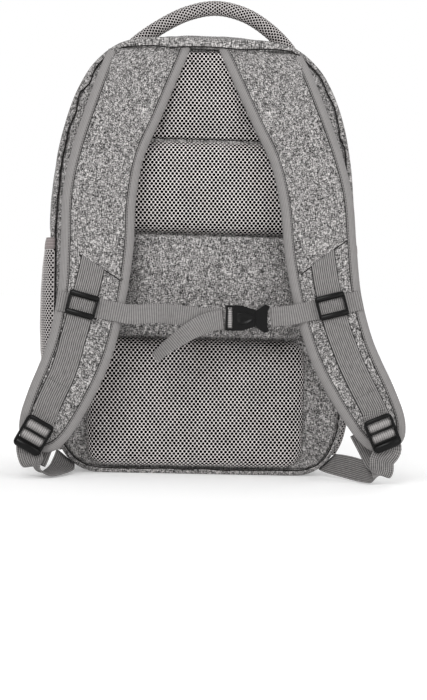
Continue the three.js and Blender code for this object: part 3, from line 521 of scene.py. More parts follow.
def make(name, verts, faces, mats, nodes=(), cloth=None, kinds=None):
    """One piece of the object: closed mesh, material slot, and the frame's nodes that it stands for."""
    verts = np.asarray(verts, float)
    faces = [tuple(f) for f in faces]
    if signed_volume(verts, faces) < 0:
        faces = [f[::-1] for f in faces]
    mesh = bpy.data.meshes.new(name)
    mesh.from_pydata(((verts + (0, BACK_PLANE_Y, 0)) * MM).tolist(), [], faces)
    for mat in mats:
        mesh.materials.append(mat)
    if kinds is not None:
        mesh.polygons.foreach_set("material_index", np.asarray(kinds, np.int32))
    mesh.polygons.foreach_set("use_smooth", np.ones(len(faces), bool))
    if cloth is not None:
        layer = mesh.attributes.new("cloth", "FLOAT_VECTOR", "POINT")
        flat = np.zeros((len(verts), 3), np.float32)
        flat[:, :2] = cloth
        layer.data.foreach_set("vector", flat.ravel())
    mesh.update()
    obj = put(name, mesh)
    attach(obj, "root")
    if nodes:
        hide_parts(*nodes)
    return obj


def quads(rows, cols, ring=False):
    r, c = np.meshgrid(np.arange(rows - 1), np.arange(cols if ring else cols - 1), indexing="ij")
    d = (c + 1) % cols
    return np.stack([r * cols + c, r * cols + d, (r + 1) * cols + d, (r + 1) * cols + c], -1).reshape(-1, 4)


class Parts:
    """Several closed skins gathered into one piece."""

    def __init__(self):
        self.verts, self.faces, self.cloth, self.kinds, self.count = [], [], [], [], 0

    def take(self, verts, faces, cloth=None, kind=0):
        verts = np.asarray(verts, float).reshape(-1, 3)
        faces = [tuple(int(i) for i in f) for f in faces]
        if signed_volume(verts, faces) < 0:
            faces = [f[::-1] for f in faces]
        self.verts.append(verts)
        self.faces += [tuple(i + self.count for i in f) for f in faces]
        self.kinds += [kind] * len(faces)
        self.cloth.append(np.zeros((len(verts), 2)) if cloth is None else np.asarray(cloth).reshape(-1, 2))
        self.count += len(verts)
        return self

    def make(self, name, mats, slot, nodes=()):
        verts, cloth = np.vstack(self.verts), np.vstack(self.cloth)
        return make(name, verts, self.faces, mats, nodes, cloth, self.kinds)


def swept(sections):
    """A closed skin through closed sections, with both ends capped, and its cloth places."""
    sections = np.asarray(sections, float)
    rows, cols = sections.shape[:2]
    faces = [tuple(f) for f in quads(rows, cols, ring=True)]
    faces.append(tuple(range(cols))[::-1])
    faces.append(tuple(range((rows - 1) * cols, rows * cols)))
    along = lengths(sections.mean(1))
    around = np.stack([lengths(s) for s in sections])
    around = around - around.mean(1, keepdims=True)
    cloth = np.stack([around, np.broadcast_to(along[:, None], around.shape)], -1)
    return sections.reshape(-1, 3), faces, cloth.reshape(-1, 2)


def slab(outer, inner, cloth):
    """A closed wall between two grids of points."""
    rows, cols = outer.shape[:2]
    count = rows * cols
    index = np.arange(count).reshape(rows, cols)
    rim = np.concatenate([index[0, :-1], index[:-1, -1], index[-1, :0:-1], index[:0:-1, 0]])
    after = np.roll(rim, -1)
    faces = [tuple(f) for f in quads(rows, cols)]
    faces += [tuple(f[::-1] + count) for f in quads(rows, cols)]
    faces += [(b, a, a + count, b + count) for a, b in zip(rim, after)]
    return np.vstack([outer.reshape(-1, 3), inner.reshape(-1, 3)]), faces, np.vstack([cloth, cloth])


def grid_normals(grid, away_from):
    normal = unit(np.cross(np.gradient(grid, axis=0), np.gradient(grid, axis=1)))
    facing = np.einsum("ijk,ijk->ij", normal, grid - np.asarray(away_from, float))
    return normal if facing.mean() > 0 else -normal


def grid_cloth(grid):
    across = np.stack([lengths(row) for row in grid])
    along = np.stack([lengths(col) for col in grid.transpose(1, 0, 2)], 1)
    return across, along


def strip_cloth(across, along):
    """Cloth places of a strip, from those across it and along it."""
    return np.stack(np.broadcast_arrays(across[None], along[:, None]), -1).reshape(-1, 2)


def panel(node, grid, crease, seed, wall=WALL, edge=2.5):
    """A padded panel: its edges roll in to the seams and its face is a little uneven."""
    normal = grid_normals(grid, BAG_MIDDLE)
    across, along = grid_cloth(grid)
    near = np.min([across, across[:, -1:] - across, along, along[-1:] - along], axis=0)
    roll = edge - np.sqrt(np.maximum(edge**2 - np.maximum(edge - near, 0) ** 2, 0))
    fade = np.clip(near / CREASE["fade"], 0, 1)
    waves = 0.7 * ripple(grid, CREASE["long"], seed) + 0.3 * ripple(grid, CREASE["short"], seed + 1)
    fold = crease * fade * waves
    outer = grid + normal * (fold - roll)[..., None]
    inner = grid - normal * wall
    middle = across - across.mean(1, keepdims=True)
    verts, faces, cloth = slab(outer, inner, np.stack([middle, along], -1).reshape(-1, 2))
    obj = make(f"{node}_cloth", verts, faces, [HEATHER], [node], cloth)


def line_tube(parts, path, normal, radius, kind):
    """A thin round line that lies along a path on a surface: here a dark line of painted shadow."""
    side = unit(np.cross(tangents(path), normal))
    parts.take(*swept(circles(path, side, normal, radius, 6)), kind)


def loosened(grid, most, sewn):
    """A panel as loose cloth, held along its edges and where it is sewn, and pushed out by its padding."""
    rows, cols = grid.shape[:2]
    sewn = sewn.copy()
    sewn[[0, -1]] = sewn[:, [0, -1]] = True
    faces = quads(rows, cols)
    flat = grid.reshape(-1, 3)
    normal = np.cross(flat[faces[:, 1]] - flat[faces[:, 0]], flat[faces[:, 3]] - flat[faces[:, 0]])
    if ((flat[faces[:, 0]] - BAG_MIDDLE) * normal).sum() < 0:
        faces = faces[:, ::-1]
    mesh = bpy.data.meshes.new("loose_cloth")
    mesh.from_pydata((flat * MM).tolist(), [], faces.tolist())
    sheet = put("loose_cloth", mesh)
    seam = sheet.vertex_groups.new(name="seam")
    seam.add(np.flatnonzero(sewn).tolist(), 1.0, "REPLACE")
    cloth = sheet.modifiers.new("cloth", "CLOTH")
    cloth.point_cache.frame_end = LOOSE_STEPS
    for key, value in LOOSE.items():
        setattr(cloth.settings, key, value)
    cloth.settings.vertex_group_mass = "seam"
    cloth.settings.effector_weights.gravity = 0
    scene = bpy.context.scene
    for step in range(1, LOOSE_STEPS + 1):
        scene.frame_set(step)
    result = sheet.evaluated_get(bpy.context.evaluated_depsgraph_get()).to_mesh()
    moved = np.zeros(len(flat) * 3)
    result.vertices.foreach_get("co", moved)
    scene.frame_set(1)
    bpy.data.objects.remove(sheet)
    bpy.data.meshes.remove(mesh)
    shift = moved.reshape(-1, 3) / MM - flat
    size = np.linalg.norm(shift, axis=1, keepdims=True)
    return (flat + shift * np.minimum(1, most / np.maximum(size, 1e-6))).reshape(grid.shape)


def stitch_row(parts, path, normal):
    """Short raised stitches along a path on a surface."""
    pitch, thread = STITCH["pitch"], STITCH["thread"]
    run = lengths(path)
    at = spaced(run, max(2, int(run[-1] / pitch)))
    way, up = unit(picked(at, run, tangents(path))), unit(picked(at, run, normal))
    along, size = STITCH_RINGS.T[..., None]
    for c, w, u in zip(picked(at, run, path), way, up):
        centres = c + w * pitch * along + u * STITCH["lift"] * thread * size
        parts.take(*swept(circles(centres, unit(np.cross(w, u)), u, thread * size, 5)))


# The bag's surface

def body_at(z):
    columns = {}
    for k, name in enumerate(BODY_COLUMNS[1:], 1):
        columns[name] = np.interp(z, BODY_ROWS[:, 0], BODY_ROWS[:, k])
    return columns


def soften_rows():
    """The slices between the rows, with the corners of the table eased."""
    fine = np.linspace(0, BODY_HEIGHT, 186)
    step = fine[1] - fine[0]
    kernel = np.exp(-0.5 * (np.arange(-9, 10) * step / 8.0) ** 2)
    columns = [fine]
    for k in range(1, 4):
        line = np.interp(fine, BODY_ROWS[:, 0], BODY_ROWS[:, k])
        padded = np.concatenate([2 * line[0] - line[9:0:-1], line, 2 * line[-1] - line[-2:-11:-1]])
        softened = np.convolve(padded, kernel / kernel.sum(), "valid")
        keep = smoothstep(14, 40, fine) * (1 - smoothstep(405, 432, fine))
        columns.append(line + (softened - line) * keep)
    return np.stack(columns, -1)


BODY_ROWS = soften_rows()


def body_slice(z):
    """Half width, back, front and corner radii of the bag's slices."""
    half, back, front = body_at(z).values()
    depth = front - back
    front_r = np.minimum(np.minimum(FRONT_CORNER, depth * 0.45), half * 0.7)
    return half, back, front, np.minimum(BACK_CORNER, depth * 0.3), front_r


def side_x(y, z):
    """Half width of the bag at a depth and height, and zero outside it."""
    half, back, front, back_r, front_r = body_slice(z)
    into_back = np.clip(back + back_r - y, 0, back_r)
    into_front = np.clip(y - front + front_r, 0, front_r)
    x = half - back_r + np.sqrt(back_r**2 - into_back**2)
    x = np.where(into_front > 0, half - front_r + np.sqrt(front_r**2 - into_front**2), x)
    x = x * (1 - SIDE_TAPER * (y - back) / half)
    return np.where((y < back - 1e-6) | (y > front + 1e-6), 0, x)


def front_seam_y(z):
    return FRONT_SEAM["depth"] - FRONT_SEAM["slope"] * z


def zip_y(z):
    return front_seam_y(z) - ZIP["behind_seam"]


def arch(depth_of, low_z, count):
    """The bag's outline over its top at a depth that may change with height, from left to right."""
    z = np.concatenate([np.linspace(low_z, 430, 90), np.linspace(430, BODY_HEIGHT, 160)[1:]])
    y = depth_of(z)
    x = side_x(y, z)
    inside = x > 0
    last = len(z) - 1 - np.argmax(inside[::-1])
    half = np.stack([x[: last + 1], y[: last + 1], z[: last + 1]], -1)
    top = half[-1].copy()
    top[0] = 0
    half = np.vstack([half, top])
    whole = np.vstack([half * (-1, 1, 1), half[-2::-1]])
    return resample(whole, count)


def gusset_grid(start_of, end_of, low_z, rows, count):
    between = lambda q: lambda z: start_of(z) + q * (end_of(z) - start_of(z))
    return np.stack([arch(between(q), low_z, count) for q in np.linspace(0, 1, rows)])


def build_gussets():
    heights = np.concatenate([np.linspace(BASE_SEAM_Z, 60, 18), np.linspace(60, TOP_SEAM_Z, 66)[1:]])
    shares = np.linspace(0, 1, 34)
    for word, side in SIDES.items():
        z, q = np.meshgrid(heights, shares, indexing="ij")
        y = BACK_SEAM_Y + q * (front_seam_y(z) - BACK_SEAM_Y)
        grid = np.stack([side * side_x(y, z), y, z], -1)
        by_zip = (np.abs(y - zip_y(z)) < ZIP["tape"]) & (z > ZIP["low_z"])
        sewn = by_zip | (z < POCKET_ROWS[-1, 0])
        panel(f"side_gusset_{word}", loosened(grid, LOOSE_MOST["side"], sewn), crease=0.4, seed=11 + side)
    rear = gusset_grid(lambda z: BACK_SEAM_Y + 0 * z, lambda z: zip_y(z) - 4, TOP_SEAM_Z, 26, 151)
    panel("top_gusset_rear", rear, crease=0.8, seed=21)
    front = gusset_grid(lambda z: zip_y(z) + 4, front_seam_y, TOP_SEAM_Z, 12, 151)
    panel("top_gusset_front", front, crease=0.5, seed=23)


def slice_outline(z):
    """The right half of one slice of the bag, from the middle of the back to the middle of the front."""
    half, back, front, back_r, front_r = body_slice(z)
    turn = np.linspace(0, math.pi / 2, 14)
    sin, cos = np.sin(turn), np.cos(turn)
    flat = np.linspace(half - front_r, 0, 12)[1:]
    x = np.concatenate([[0], half - back_r + back_r * sin, half - front_r + front_r * cos, flat])
    y = np.concatenate([
        [back], back + back_r - back_r * cos, front - front_r + front_r * sin, np.full(len(flat), front),
    ])
    inwards = (y - back) / (front - back)
    ease = min(1, z / 60) * (1 - smoothstep(FRONT_TOP_Z - 80, FRONT_TOP_Z, z))
    bulge = FRONT_BULGE * inwards**3 * (1 - (x / half) ** 2) * ease
    return np.stack([x * (1 - SIDE_TAPER * (y - back) / half), y + bulge], -1)


def build_front():
    heights = np.concatenate([np.linspace(BASE_SEAM_Z, 60, 16), np.linspace(60, FRONT_TOP_Z, 80)[1:]])
    rows = []
    for z in heights:
        fine = resample(slice_outline(z), 400)
        beyond = fine[fine[:, 1] >= front_seam_y(z)]
        half = np.column_stack([beyond, np.full(len(beyond), z)])
        whole = np.vstack([half, half[-2::-1] * (-1, 1, 1)])
        rows.append(resample(whole, 61))
    grid = np.array(rows)
    sewn = np.zeros(grid.shape[:2], bool)
    panel("front_panel", loosened(grid, LOOSE_MOST["front"], sewn), crease=0.5, seed=31)


def build_base():
    outer = []
    for z in (0, 1.5, 3.5, 6, 9, BASE_SEAM_Z - 0.6):
        right = slice_outline(z)
        loop = resample_loop(np.vstack([right, right[-2:0:-1] * (-1, 1)]), 200)
        outer.append(np.column_stack([loop, np.full(200, z)]))
    middle = np.array([0, 67, 0])
    foot = [middle + (outer[0] - middle) * s for s in (0.02, 0.35, 0.7, 0.94)]
    outside = np.array(foot + outer)
    inside = middle + (outside - middle) * (0.96, 0.94, 1) + (0, 0, WALL)
    inside[-1, :, 2] = BASE_SEAM_Z - 0.6
    verts, faces, _ = swept(np.vstack([outside, inside[::-1]]))
    obj = make("base_panel_cloth", verts, faces, [HEATHER], ["base_panel"], verts[:, :2])


def back_half(z):
    return body_at(z)["half"] - BACK_PANEL["inset"]


def back_outline(grow):
    """The back panel's edge as a closed loop in x and z, grown outwards."""
    z = np.linspace(BACK_PANEL["low_z"], BACK_PANEL["high_z"], 240)
    right = np.stack([back_half(z), z], -1)
    loop = resample_loop(np.vstack([right, right[::-1] * (-1, 1)]), 260)
    for _ in range(3):
        loop = (np.roll(loop, 1, 0) + 2 * loop + np.roll(loop, -1, 0)) / 4
    way = tangents(loop, closed=True)
    return loop + np.stack([way[:, 1], -way[:, 0]], -1) * np.reshape(grow, (-1, 1))


def build_back_panel():
    heights = np.linspace(BACK_PANEL["low_z"], BACK_PANEL["high_z"], 110)
    z, q = np.meshgrid(heights, eased(61), indexing="ij")
    grid = np.stack([q * back_half(z), np.full_like(z, -BACK_PANEL["outer"]), z], -1)
    thick = BACK_PANEL["outer"] + BACK_PANEL["inner"]
    panel("back_panel", grid, crease=0.4, seed=41, wall=thick, edge=4.5)


def build_piping():
    """The rolled edge of the back: wide over the strap ends, with puckers where the gusset is eased in, and
    a dark tube of painted shadow in the crease beside it.
    """
    edge = back_outline(0)
    top = PIPING_TOP
    high = smoothstep(top["from_z"], top["to_z"], edge[:, 1])
    high = high * (1 - smoothstep(top["full_x"], top["none_x"], np.abs(edge[:, 0])))
    even = PIPING["radius"] + (PIPING["top_radius"] - PIPING["radius"]) * high
    radius = even
    for side, height, size, long in PUCKERS:
        here = np.exp(-(((edge[:, 1] - height) / long) ** 2)) * (edge[:, 0] * side > 0)
        radius = radius + size * here
    spots = np.stack([edge[:, 0], 0 * radius, edge[:, 1]], -1)
    radius = radius + 0.3 * ripple(spots, 34, 43) + 0.35 * high * ripple(spots, 60, 44)
    loop = back_outline(0.4 + even * (2 - 0.15 * high) - radius)
    way = tangents(loop, closed=True)
    out = np.stack([way[:, 1], 0 * way[:, 0], -way[:, 0]], -1)
    depth = PIPING["depth"] + (PIPING["top_depth"] - PIPING["depth"]) * high
    centre = np.stack([loop[:, 0], -depth, loop[:, 1]], -1)
    sides, radius = PIPING["sides"], radius[:, None]
    faces = quads(len(loop) + 1, sides, ring=True) % (len(loop) * sides)
    around = np.arange(sides) * 2 * math.pi / sides * 3
    cloth = strip_cloth(around, lengths(centre))
    front = np.array([0, -1.0, 0])
    roll = Parts().take(circles(centre, out, -front, radius, sides), faces, cloth)
    # The dark tube of painted shadow in the crease beside the roll
    lean = math.radians(PIPING_CREASE_SHADE["angle"])
    crease = centre + radius * (math.cos(lean) * out + math.sin(lean) * front)
    roll.take(circles(crease, out, front, PIPING_CREASE_SHADE["radius"], sides), faces, cloth, 1)
    roll.make("back_piping_cloth", [HEATHER, SEAM_SHADE], "heather_fabric", ["back_piping"])


# Open mesh fabric

def comb_cell(pitch, row, fine):
    """The corners of one cell of a staggered lattice, and whole numbers that name them."""
    k = row / 2 - pitch**2 / (8 * row)
    half = pitch / 2
    corners = np.array([(half, -k), (half, k), (0, row - k), (-half, k), (-half, -k), (0, k - row)])
    names = np.array([(2, -2), (2, 2), (0, 4), (-2, 2), (-2, -2), (0, -4)])
    if not fine:
        return corners, names
    halfway = lambda a: np.stack([a, (a + np.roll(a, -1, 0)) / 2], 1).reshape(-1, 2)
    return halfway(corners), halfway(names).astype(int)


def dimpled(node, index, form, place, mats, holed, settle=None, ring=None, fine=True):
    """A closed mesh fabric with a dimple in each holed cell, put on its surface by place(points, depth)."""
    cell, names = comb_cell(form["pitch"], form["row"], fine)
    sides = len(cell)
    centres = index * (form["pitch"] / 2, form["row"])
    corners = centres[:, None] + cell
    keys = index[:, None] * (2, 6) + names
    if ring is not None:
        keys[..., 0] %= 4 * ring
    _, first, ids = np.unique(keys.reshape(-1, 2), axis=0, return_index=True, return_inverse=True)
    shared = corners.reshape(-1, 2)[first]
    ids = ids.reshape(-1, sides)
    count = len(shared)
    pairs = np.stack([ids, np.roll(ids, -1, 1)], -1).reshape(-1, 2)
    _, which, uses = np.unique(np.sort(pairs, axis=1), axis=0, return_inverse=True, return_counts=True)
    rim = pairs[uses[which.ravel()] == 1]
    if settle is not None:
        border = np.unique(rim)
        shared[border] = settle(shared[border])

    ways = unit(cell)
    mouth = centres[holed][:, None] + ways[None] * form["mouth"]
    floor = centres[holed][:, None] + ways[None] * form["floor"]
    held = int(holed.sum())
    verts = np.vstack([
        place(shared, np.zeros(count)),
        place(shared, np.full(count, np.inf)),
        place(mouth.reshape(-1, 2), np.full(held * sides, HOLE_LIP)),
        place(floor.reshape(-1, 2), np.full(held * sides, form["depth"])),
    ])
    cloth = np.vstack([shared, shared, mouth.reshape(-1, 2), floor.reshape(-1, 2)])
    top = ids[holed]
    upper = 2 * count + np.arange(held * sides).reshape(held, sides)
    lower = upper + held * sides
    strip = lambda a, b: np.stack([a, np.roll(a, -1, 1), np.roll(b, -1, 1), b], -1).reshape(-1, 4)
    # Slot 1 is painted shade: the holes' walls and floors, the edge cells without a hole, and the mesh's
    # side walls
    groups = [
        (strip(top, upper), 0), (strip(upper, lower), 1), (lower, 1), (ids[~holed], 1),
        (ids[:, ::-1] + count, 0), (np.column_stack([rim[:, ::-1], rim + count]), 1),
    ]
    faces, kinds = [], []
    for group, kind in groups:
        faces += group.tolist()
        kinds += [kind] * len(group)
    return make(f"{node}_mesh", verts, faces, mats, [node], cloth, kinds)


def staggered(low, high, form):
    """Half steps across and rows up of the cells that cover a rectangle."""
    half, row = form["pitch"] / 2, form["row"]
    rows = np.arange(math.floor(low[1] / row), math.ceil(high[1] / row) + 1)
    cols = np.arange(math.floor(low[0] / half) - 1, math.ceil(high[0] / half) + 2)
    j, i = np.meshgrid(rows, cols, indexing="ij")
    index = np.stack([i, j], -1).reshape(-1, 2)
    return index[(index.sum(1) % 2) == 0]


def edge_distance(points, loop):
    """How far points are inside a loop, and the way in from its nearest edge."""
    way = np.roll(loop, -1, 0) - loop
    size = np.maximum((way**2).sum(1), 1e-12)
    inward = unit(np.stack([-way[:, 1], way[:, 0]], -1))
    far = np.zeros(len(points))
    ways = np.zeros((len(points), 2))
    for start in range(0, len(points), 8000):
        p = points[start:start + 8000]
        off = p[:, None] - loop[None]
        t = np.clip((off * way[None]).sum(-1) / size, 0, 1)
        gap = off - t[..., None] * way[None]
        near = np.argmin((gap**2).sum(-1), 1)
        best = gap[np.arange(len(p)), near]
        sign = np.sign((best * inward[near]).sum(-1))
        far[start:start + 8000] = np.linalg.norm(best, axis=-1) * sign
        ways[start:start + 8000] = inward[near]
    return far, ways


def pad_loop(pad, grow):
    """A rounded trapezium round a pad, anticlockwise."""
    half = np.array([pad["low_half"], pad["high_half"]]) + grow
    z = (pad["low_z"] - grow, pad["high_z"] + grow)
    corners = np.array([(half[0], z[0]), (half[1], z[1]), (-half[1], z[1]), (-half[0], z[0])])
    radius = pad["corner"] + grow
    loop = []
    for k in range(4):
        here, before, after = corners[k], corners[k - 1] - corners[k], corners[(k + 1) % 4] - corners[k]
        start = here + before * min(radius / np.linalg.norm(before), 0.45)
        end = here + after * min(radius / np.linalg.norm(after), 0.45)
        t = np.linspace(0, 1, 10)[:, None]
        loop.append((1 - t) ** 2 * start + 2 * t * (1 - t) * here + t**2 * end)
    return resample_loop(np.vstack(loop), 180)


def build_pads():
    yarns = {"neck_pad": NECK_YARN, "upper_pad": YARN, "lower_pad": YARN}
    for seed, (name, row) in enumerate(PADS.items()):
        pad = dict(zip(PAD_COLUMNS, row))
        crown = NECK_CROWN if name == "neck_pad" else PAD_CROWN
        curve = spline(crown * (1, pad["thick"]), np.linspace(0, 1, 60))
        run = lengths(curve)
        grow = run[-1] - curve[-1, 0]
        loop = pad_loop(pad, grow) + (pad["shift"], 0)
        base = -BACK_PANEL["outer"] - GAP

        def place(points, depth, loop=loop, run=run, curve=curve, grow=grow, base=base, seed=seed):
            far, ways = edge_distance(points, loop)
            far = np.maximum(far, 0)
            inset = np.interp(far, run, curve[:, 0])
            rise = np.interp(far, run, curve[:, 1])
            moved = points + ways * np.where(far < run[-1], inset + grow - far, 0)[:, None]
            spot = np.stack([moved[:, 0], 0 * far, moved[:, 1]], -1)
            soft = 0.35 * ripple(spot, 48, 50 + seed) * np.clip(far / 20, 0, 1)
            y = np.where(np.isinf(depth), base, base - rise - soft + np.where(np.isinf(depth), 0, depth))
            return np.stack([moved[:, 0], np.minimum(y, base), moved[:, 1]], -1)

        def settle(points, loop=loop):
            far, ways = edge_distance(points, loop)
            return points - ways * far[:, None]

        index = staggered(loop.min(0), loop.max(0), SPACER)
        far, _ = edge_distance(index * (SPACER["pitch"] / 2, SPACER["row"]), loop)
        kept = far > HOLE_INSET["cell"]
        holed = far[kept] > HOLE_INSET["pad"]
        mats = [yarns[name], MESH_HOLE_SHADE]
        obj = dimpled(name, index[kept], SPACER, place, mats, holed, settle)


def build_handle():
    line = np.stack([HANDLE_ROWS[:, 0], np.full(9, HANDLE["depth"]), HANDLE_ROWS[:, 1]], -1)
    path = resample(spline(line, np.linspace(0, 1, 200)), 160)
    run = lengths(path)
    way = tangents(path)
    girth = 2 * math.pi * HANDLE["radius"]
    pitch = girth / HANDLE["columns"]
    rows = int(run[-1] / HANDLE["row"]) // 2 * 2
    j, i = np.meshgrid(np.arange(1, rows), np.arange(HANDLE["columns"]), indexing="ij")
    index = np.stack([2 * i + j % 2, j], -1).reshape(-1, 2)
    form = {"pitch": pitch, "row": run[-1] / rows, **HANDLE_HOLE}

    def place(points, depth):
        at = np.clip(points[:, 1], 0, run[-1])
        across = np.array([0, 1.0, 0])
        up = np.cross(unit(picked(at, run, way)), across)
        angle = points[:, :1] / HANDLE["radius"]
        radius = HANDLE["radius"] - np.where(np.isinf(depth), HANDLE["wall"], depth)
        return picked(at, run, path) + radius[:, None] * (np.cos(angle) * across + np.sin(angle) * up)

    holed = np.ones(len(index), bool)
    obj = dimpled("carry_handle", index, form, place, [HANDLE_YARN, MESH_HOLE_SHADE], holed,
                  ring=HANDLE["columns"], fine=False)


def pocket_surface(side, across, z, off):
    """Places on a side pocket: across it from the back seam, up, and out from its inner face."""
    flat = POCKET_PLAN[:, :2] + POCKET_PLAN[:, 2:] * (10, 0)
    run = lengths(flat) * POCKET["wide"] / lengths(flat)[-1]
    fine = np.linspace(0, 1, 200)
    plan = spline(POCKET_PLAN, fine)
    at = np.interp(fine * (len(run) - 1), np.arange(len(run)), run)
    out, y, share = (np.interp(across, at, plan[:, k]) for k in range(3))
    low = 1 - smoothstep(POCKET_TUCK["from_z"], POCKET_TUCK["to_z"], z)
    at_back = lambda depth: np.clip((12 - depth) / 18, 0, 1)
    tucked = low * at_back(y)
    out, y = out + POCKET_TUCK["out"] * tucked, y + POCKET_TUCK["back"] * tucked
    bulge = np.interp(z, POCKET_ROWS[:, 0], POCKET_ROWS[:, 1])
    x = body_at(z)["half"] - SIDE_TAPER * np.maximum(y, 0) + out + bulge * share
    tilt = at_back(y)
    return np.stack([side * (x + off * (1 - 0.6 * tilt)), y - off * 0.8 * tilt, z], -1)


def build_pockets():
    form = POCKET_MESH
    wide = POCKET["wide"]
    low, high = POCKET_ROWS[0, 0], POCKET_ROWS[-2, 0]
    to_edges = lambda p: np.stack([p[:, 0], wide - p[:, 0], p[:, 1] - low, high - p[:, 1]], -1)

    def settle(points):
        near = np.argmin(to_edges(points), 1)
        moved = points.copy()
        for k, (axis, edge) in enumerate([(0, 0), (0, wide), (1, low), (1, high)]):
            moved[near == k, axis] = edge
        return moved

    for word, side in SIDES.items():
        def place(points, depth, side=side):
            off = POCKET["wall"] - np.where(np.isinf(depth), POCKET["wall"], depth)
            return pocket_surface(side, points[:, 0], points[:, 1], off)

        index = staggered((0, low), (wide, high), form)
        edge = to_edges(index * (form["pitch"] / 2, form["row"])).min(1)
        kept = edge > HOLE_INSET["cell"]
        holed = edge[kept] > HOLE_INSET["pocket"]
        obj = dimpled(f"side_pocket_{word}", index[kept], form, place, [POCKET_YARN, POCKET_HOLE_SHADE],
                      holed, settle, fine=False)

        heights = np.linspace(high + GAP, high + POCKET["band"], 9)
        z, across = np.meshgrid(heights, np.linspace(0, wide, 50), indexing="ij")
        belly = POCKET["band_wall"] * (0.75 + 0.25 * np.sin(np.linspace(0, np.pi, 9)))[:, None]
        outer, inner = pocket_surface(side, across, z, belly), pocket_surface(side, across, z, 0 * z)
        verts, faces, cloth = slab(outer, inner, np.stack([z, across], -1).reshape(-1, 2))
        make(f"pocket_band_{word}_tape", verts, faces, [BAND], [f"pocket_band_{word}"], cloth)


def build_sleeve():
    s = SLEEVE
    foot = -BACK_PANEL["outer"] - GAP - s["thick"] / 2
    front = -s["stand"] + s["thick"] / 2
    flat, tab, shift = SLEEVE_HALF["flat"], SLEEVE_HALF["tab"], SLEEVE_HALF["shift"]
    ends = {-1: SLEEVE_HALF["foot"], 1: SLEEVE_HALF["foot"] + shift}
    half = lambda side: [
        (side * tab + max(side, 0) * shift, foot), (side * (ends[side] + 2), foot),
        (side * (ends[side] - 3), foot - 1.5), (shift + side * (flat + 4), front + 2.2),
        (shift + side * (flat - 4), front),
    ]
    line = np.array([*half(-1), (shift, front - 0.3), *half(1)[::-1]])
    line = resample(spline(line, np.linspace(0, 1, 300)), 120)
    heights = np.linspace(s["low_z"], s["high_z"], 46)
    grid = np.stack([np.column_stack([line, np.full(120, z)]) for z in heights])
    normal = grid_normals(grid, (0, 0, 200))
    edge = np.minimum(heights - s["low_z"], s["high_z"] - heights)[:, None]
    hem = HEM["rise"] * (1 - smoothstep(HEM["wide"] - 0.5, HEM["wide"] + 0.5, edge))
    groove = -HEM["rise"] * np.exp(-(((edge - HEM["groove_at"]) / HEM["groove"]) ** 2))
    held = np.clip((tab + shift / 2 - np.abs(grid[..., 0] - shift / 2)) / 30, 0, 1)
    fold = held * (0.7 * ripple(grid, 70, 61) + 0.25 * ripple(grid, 26, 62))
    soft = -(1.0 - np.sqrt(np.maximum(1 - np.maximum(1 - edge, 0) ** 2, 0)))
    outer = grid + normal * (s["thick"] / 2 + hem + groove + fold + soft)[..., None]
    inner = grid - normal * (s["thick"] / 2 - fold)[..., None]
    across, along = grid_cloth(grid)
    verts, faces, cloth = slab(outer, inner, np.stack([across, along], -1).reshape(-1, 2))
    obj = make("trolley_sleeve_cloth", verts, faces, [HEATHER], ["trolley_sleeve"], cloth)


# Straps and webbing

def strap_line(side):
    word = "left" if side < 0 else "right"
    x, z, stand, width, thick = STRAP_ROWS.T
    low = np.maximum(0, 1 - z / STRAP_END["fades_at_z"])
    sway = STRAP_SWAY["most"] * (1 - z / STRAP_SWAY["none_at_z"])
    end = STRAP_END[word]
    line = np.stack([side * (x + end["out"] * low) + sway, -stand, z + end["up"] * low], -1)
    return line, np.stack([width, thick], -1)


def strap_stations(side, share):
    """Centre, ways along, out and up, width and thickness of a strap at shares of its run."""
    line, sizes = strap_line(side)
    share = np.atleast_1d(share)
    along = unit(spline(line, share + 1e-4) - spline(line, share - 1e-4))
    across = unit(np.cross(along, (0, -1, 0)))
    across = across * np.where(across[:, :1] * side < 0, -1, 1)
    normal = unit(np.cross(across, along))
    normal = normal * np.where(normal[:, 1:2] > 0, -1, 1)
    size = spline(sizes, share)
    return {"centre": spline(line, share), "along": along, "across": across, "normal": normal,
            "width": size[:, 0], "thick": size[:, 1]}


def strap_share(side, z):
    line, _ = strap_line(side)
    fine = np.linspace(0, 1, 4000)
    return float(np.interp(-z, -spline(line, fine)[:, 2], fine))


def strap_face(station, out, lift):
    """Places on a strap's outer face: out from its middle, and lifted off its padding."""
    out, rise = np.reshape(out, (-1, 1)), np.reshape(station["thick"] / 2 + lift, (-1, 1))
    return station["centre"] + station["across"] * out + station["normal"] * rise


def strap_profile(half, full, shares):
    edge = min(STRAP_EDGE["half"], full * 0.6)
    shoulder = min(STRAP_EDGE["shoulder"] + 2, half * 0.6)
    a = shares * half
    inward = np.clip((half - np.abs(a)) / shoulder, 0, 1)
    return a, edge + (full - edge) * np.sin(inward * math.pi / 2)


def ribbon_sections(centre, across, normal, width, thick):
    shares = eased(RIBBON_POINTS)
    rise = thick / 2 * np.sqrt(np.maximum(1 - np.abs(shares) ** 10, 0.02))
    a = np.concatenate([shares, shares[::-1]]) * width / 2
    n = np.concatenate([rise, -rise])
    return centre[:, None] + across[:, None] * a[None, :, None] + normal[:, None] * n[None, :, None]


def ribbon_cloth(centre, width):
    shares = eased(RIBBON_POINTS)
    return strip_cloth(np.concatenate([shares, shares[::-1]]) * width / 2, lengths(centre))


def squared(centre, across):
    along = tangents(centre)
    across = unit(across - along * (across * along).sum(-1, keepdims=True))
    return centre, across, unit(np.cross(along, across))


def smooth_strip(rows, between=9):
    count = (len(rows) - 1) * between + 1
    share = np.linspace(0, 1, count)
    centre = spline([r[0] for r in rows], share)
    return squared(centre, spline([unit(np.array(r[1], float)) for r in rows], share))


def strip(name, stations, width, mats, nodes, second_row=None):
    """A strip of webbing, which may take a second material from one of its rows on: a paler copy of the
    webbing, painted light.
    """
    sections = ribbon_sections(*stations, width, WEBBING["thick"])
    verts, faces, _ = swept(sections)
    kinds = np.zeros(len(faces), int)
    if second_row is not None:
        kinds[second_row * sections.shape[1]:] = 1
    return make(name, verts, faces, mats, nodes, ribbon_cloth(stations[0], width), kinds)


